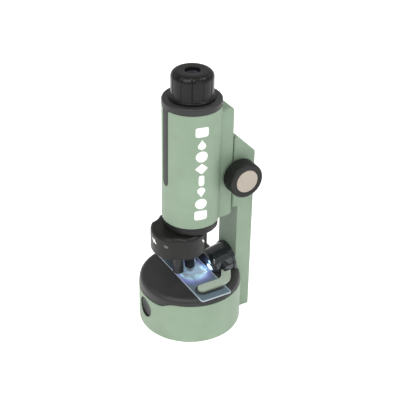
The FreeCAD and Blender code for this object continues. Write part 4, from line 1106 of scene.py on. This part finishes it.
def makeCamera():
    azimuth = math.radians(view["azimuth"])
    elevation = math.radians(view["elevation"])
    back = Vector((math.sin(azimuth) * math.cos(elevation), -math.cos(azimuth) * math.cos(elevation),
                   math.sin(elevation)))
    right = Vector((math.cos(azimuth), math.sin(azimuth), 0))
    up = back.cross(right)
    roll = math.radians(view["roll"])
    turnedRight = right * math.cos(roll) + up * math.sin(roll)
    turnedUp = up * math.cos(roll) - right * math.sin(roll)
    target = right * view["aimSide"] + Vector((0, 0, view["aimHeight"]))
    data = bpy.data.cameras.new("viewCamera")
    data.lens = view["lens"]
    data.sensor_width = 36
    camera = bpy.data.objects.new("viewCamera", data)
    turn = Matrix((turnedRight, turnedUp, back)).transposed().to_4x4()
    camera.matrix_world = Matrix.Translation(target + back * view["distance"]) @ turn
    bpy.context.scene.collection.objects.link(camera)
    bpy.context.scene.camera = camera


def makeLight(name, kind, place, aim, energy, size, colour=(1, 1, 1)):
    data = bpy.data.lights.new(name, kind)
    data.energy = energy
    data.color = colour
    if kind == "AREA":
        data.shape = "DISK"
        data.size = size
    else:
        data.shadow_soft_size = size
    light = bpy.data.objects.new(name, data)
    light.location = place
    light.rotation_euler = (Vector(aim) - Vector(place)).to_track_quat("-Z", "Y").to_euler()
    light.visible_camera = False
    bpy.context.scene.collection.objects.link(light)
    return light


studioFloor = {"half": 6.0, "drop": 0.0002, "dark": 0.90, "light": 0.93, "glow": 0.6}


def makeFloor():
    facts = studioFloor
    mesh = bpy.data.meshes.new("studioFloor")
    build = bmesh.new()
    bmesh.ops.create_grid(build, x_segments=1, y_segments=1, size=facts["half"])
    build.to_mesh(mesh)
    build.free()
    floor = bpy.data.objects.new("studioFloor", mesh)
    floor.location = (0, 0, -facts["drop"])
    bpy.context.scene.collection.objects.link(floor)
    material, root = startMaterial("studioPaper")
    fibre = noise(root, 1.5, 3.0)
    dark, light = (shade((1, 1, 1), facts[tone]) for tone in ("dark", "light"))
    finish(root, {
        "Base Color": mixColour(root, fibre, dark, light),
        "Roughness": fibre.ramp(0.2, 0.8, 0.85, 0.95),
        "Emission Color": mixColour(root, fibre, (0.99, 0.99, 0.99, 1), (1, 1, 1, 1)),
        "Emission Strength": facts["glow"],
    })
    mesh.materials.append(material)


def makeWorld(strength):
    world = bpy.data.worlds.new("studioWorld")
    bpy.context.scene.world = world
    world.use_nodes = True
    world.node_tree.nodes["Background"].inputs["Color"].default_value = (1, 1, 1, 1)
    world.node_tree.nodes["Background"].inputs["Strength"].default_value = strength


def makeLights():
    lookAt = Vector((0, 0, lightAim))
    for name, (azimuth, elevation, distance, energy, size, colour) in studioLights.items():
        around = math.radians(azimuth)
        above = math.radians(elevation)
        way = Vector((math.sin(around) * math.cos(above), -math.cos(around) * math.cos(above),
                      math.sin(above)))
        makeLight(name, "AREA", lookAt + way * distance, lookAt, energy, size, colour)
    facts = lampSpill
    stageTop = nodeBox("stage_cap")[1].z
    x, y, above = facts["place"]
    makeLight("lampSpill", "POINT", (x, y, stageTop + above), (0, facts["aim"], stageTop),
              facts["energy"], facts["size"], facts["colour"])


# azimuth from the front towards +X, elevation, distance, energy, size, colour
studioLights = {
    "keyLight": (22, 48, 1.25, 7.2, 0.9, (1.0, 0.99, 0.97)),
    "glintLight": (60, 66, 0.95, 1.5, 0.14, (1.0, 1.0, 1.0)),
    "rimLight": (145, 58, 0.95, 2.2, 0.2, (1.0, 1.0, 1.0)),
    "sideLight": (96, 20, 1.3, 2.1, 0.9, (0.84, 1.0, 0.98)),
}
lightAim = 90 * mm
worldStrength = 0.46
# the lamp's own light on the nose of the cowl; the last number of the place is above the stage
lampSpill = {"place": (3 * mm, 12 * mm, 5 * mm), "aim": 20 * mm, "energy": 0.002, "size": 2 * mm,
             "colour": (0.5, 0.74, 1.0)}

makeCamera()
makeFloor()
makeWorld(worldStrength)
makeLights()
bpy.context.scene.view_settings.view_transform = "Standard"
print("studio ready")
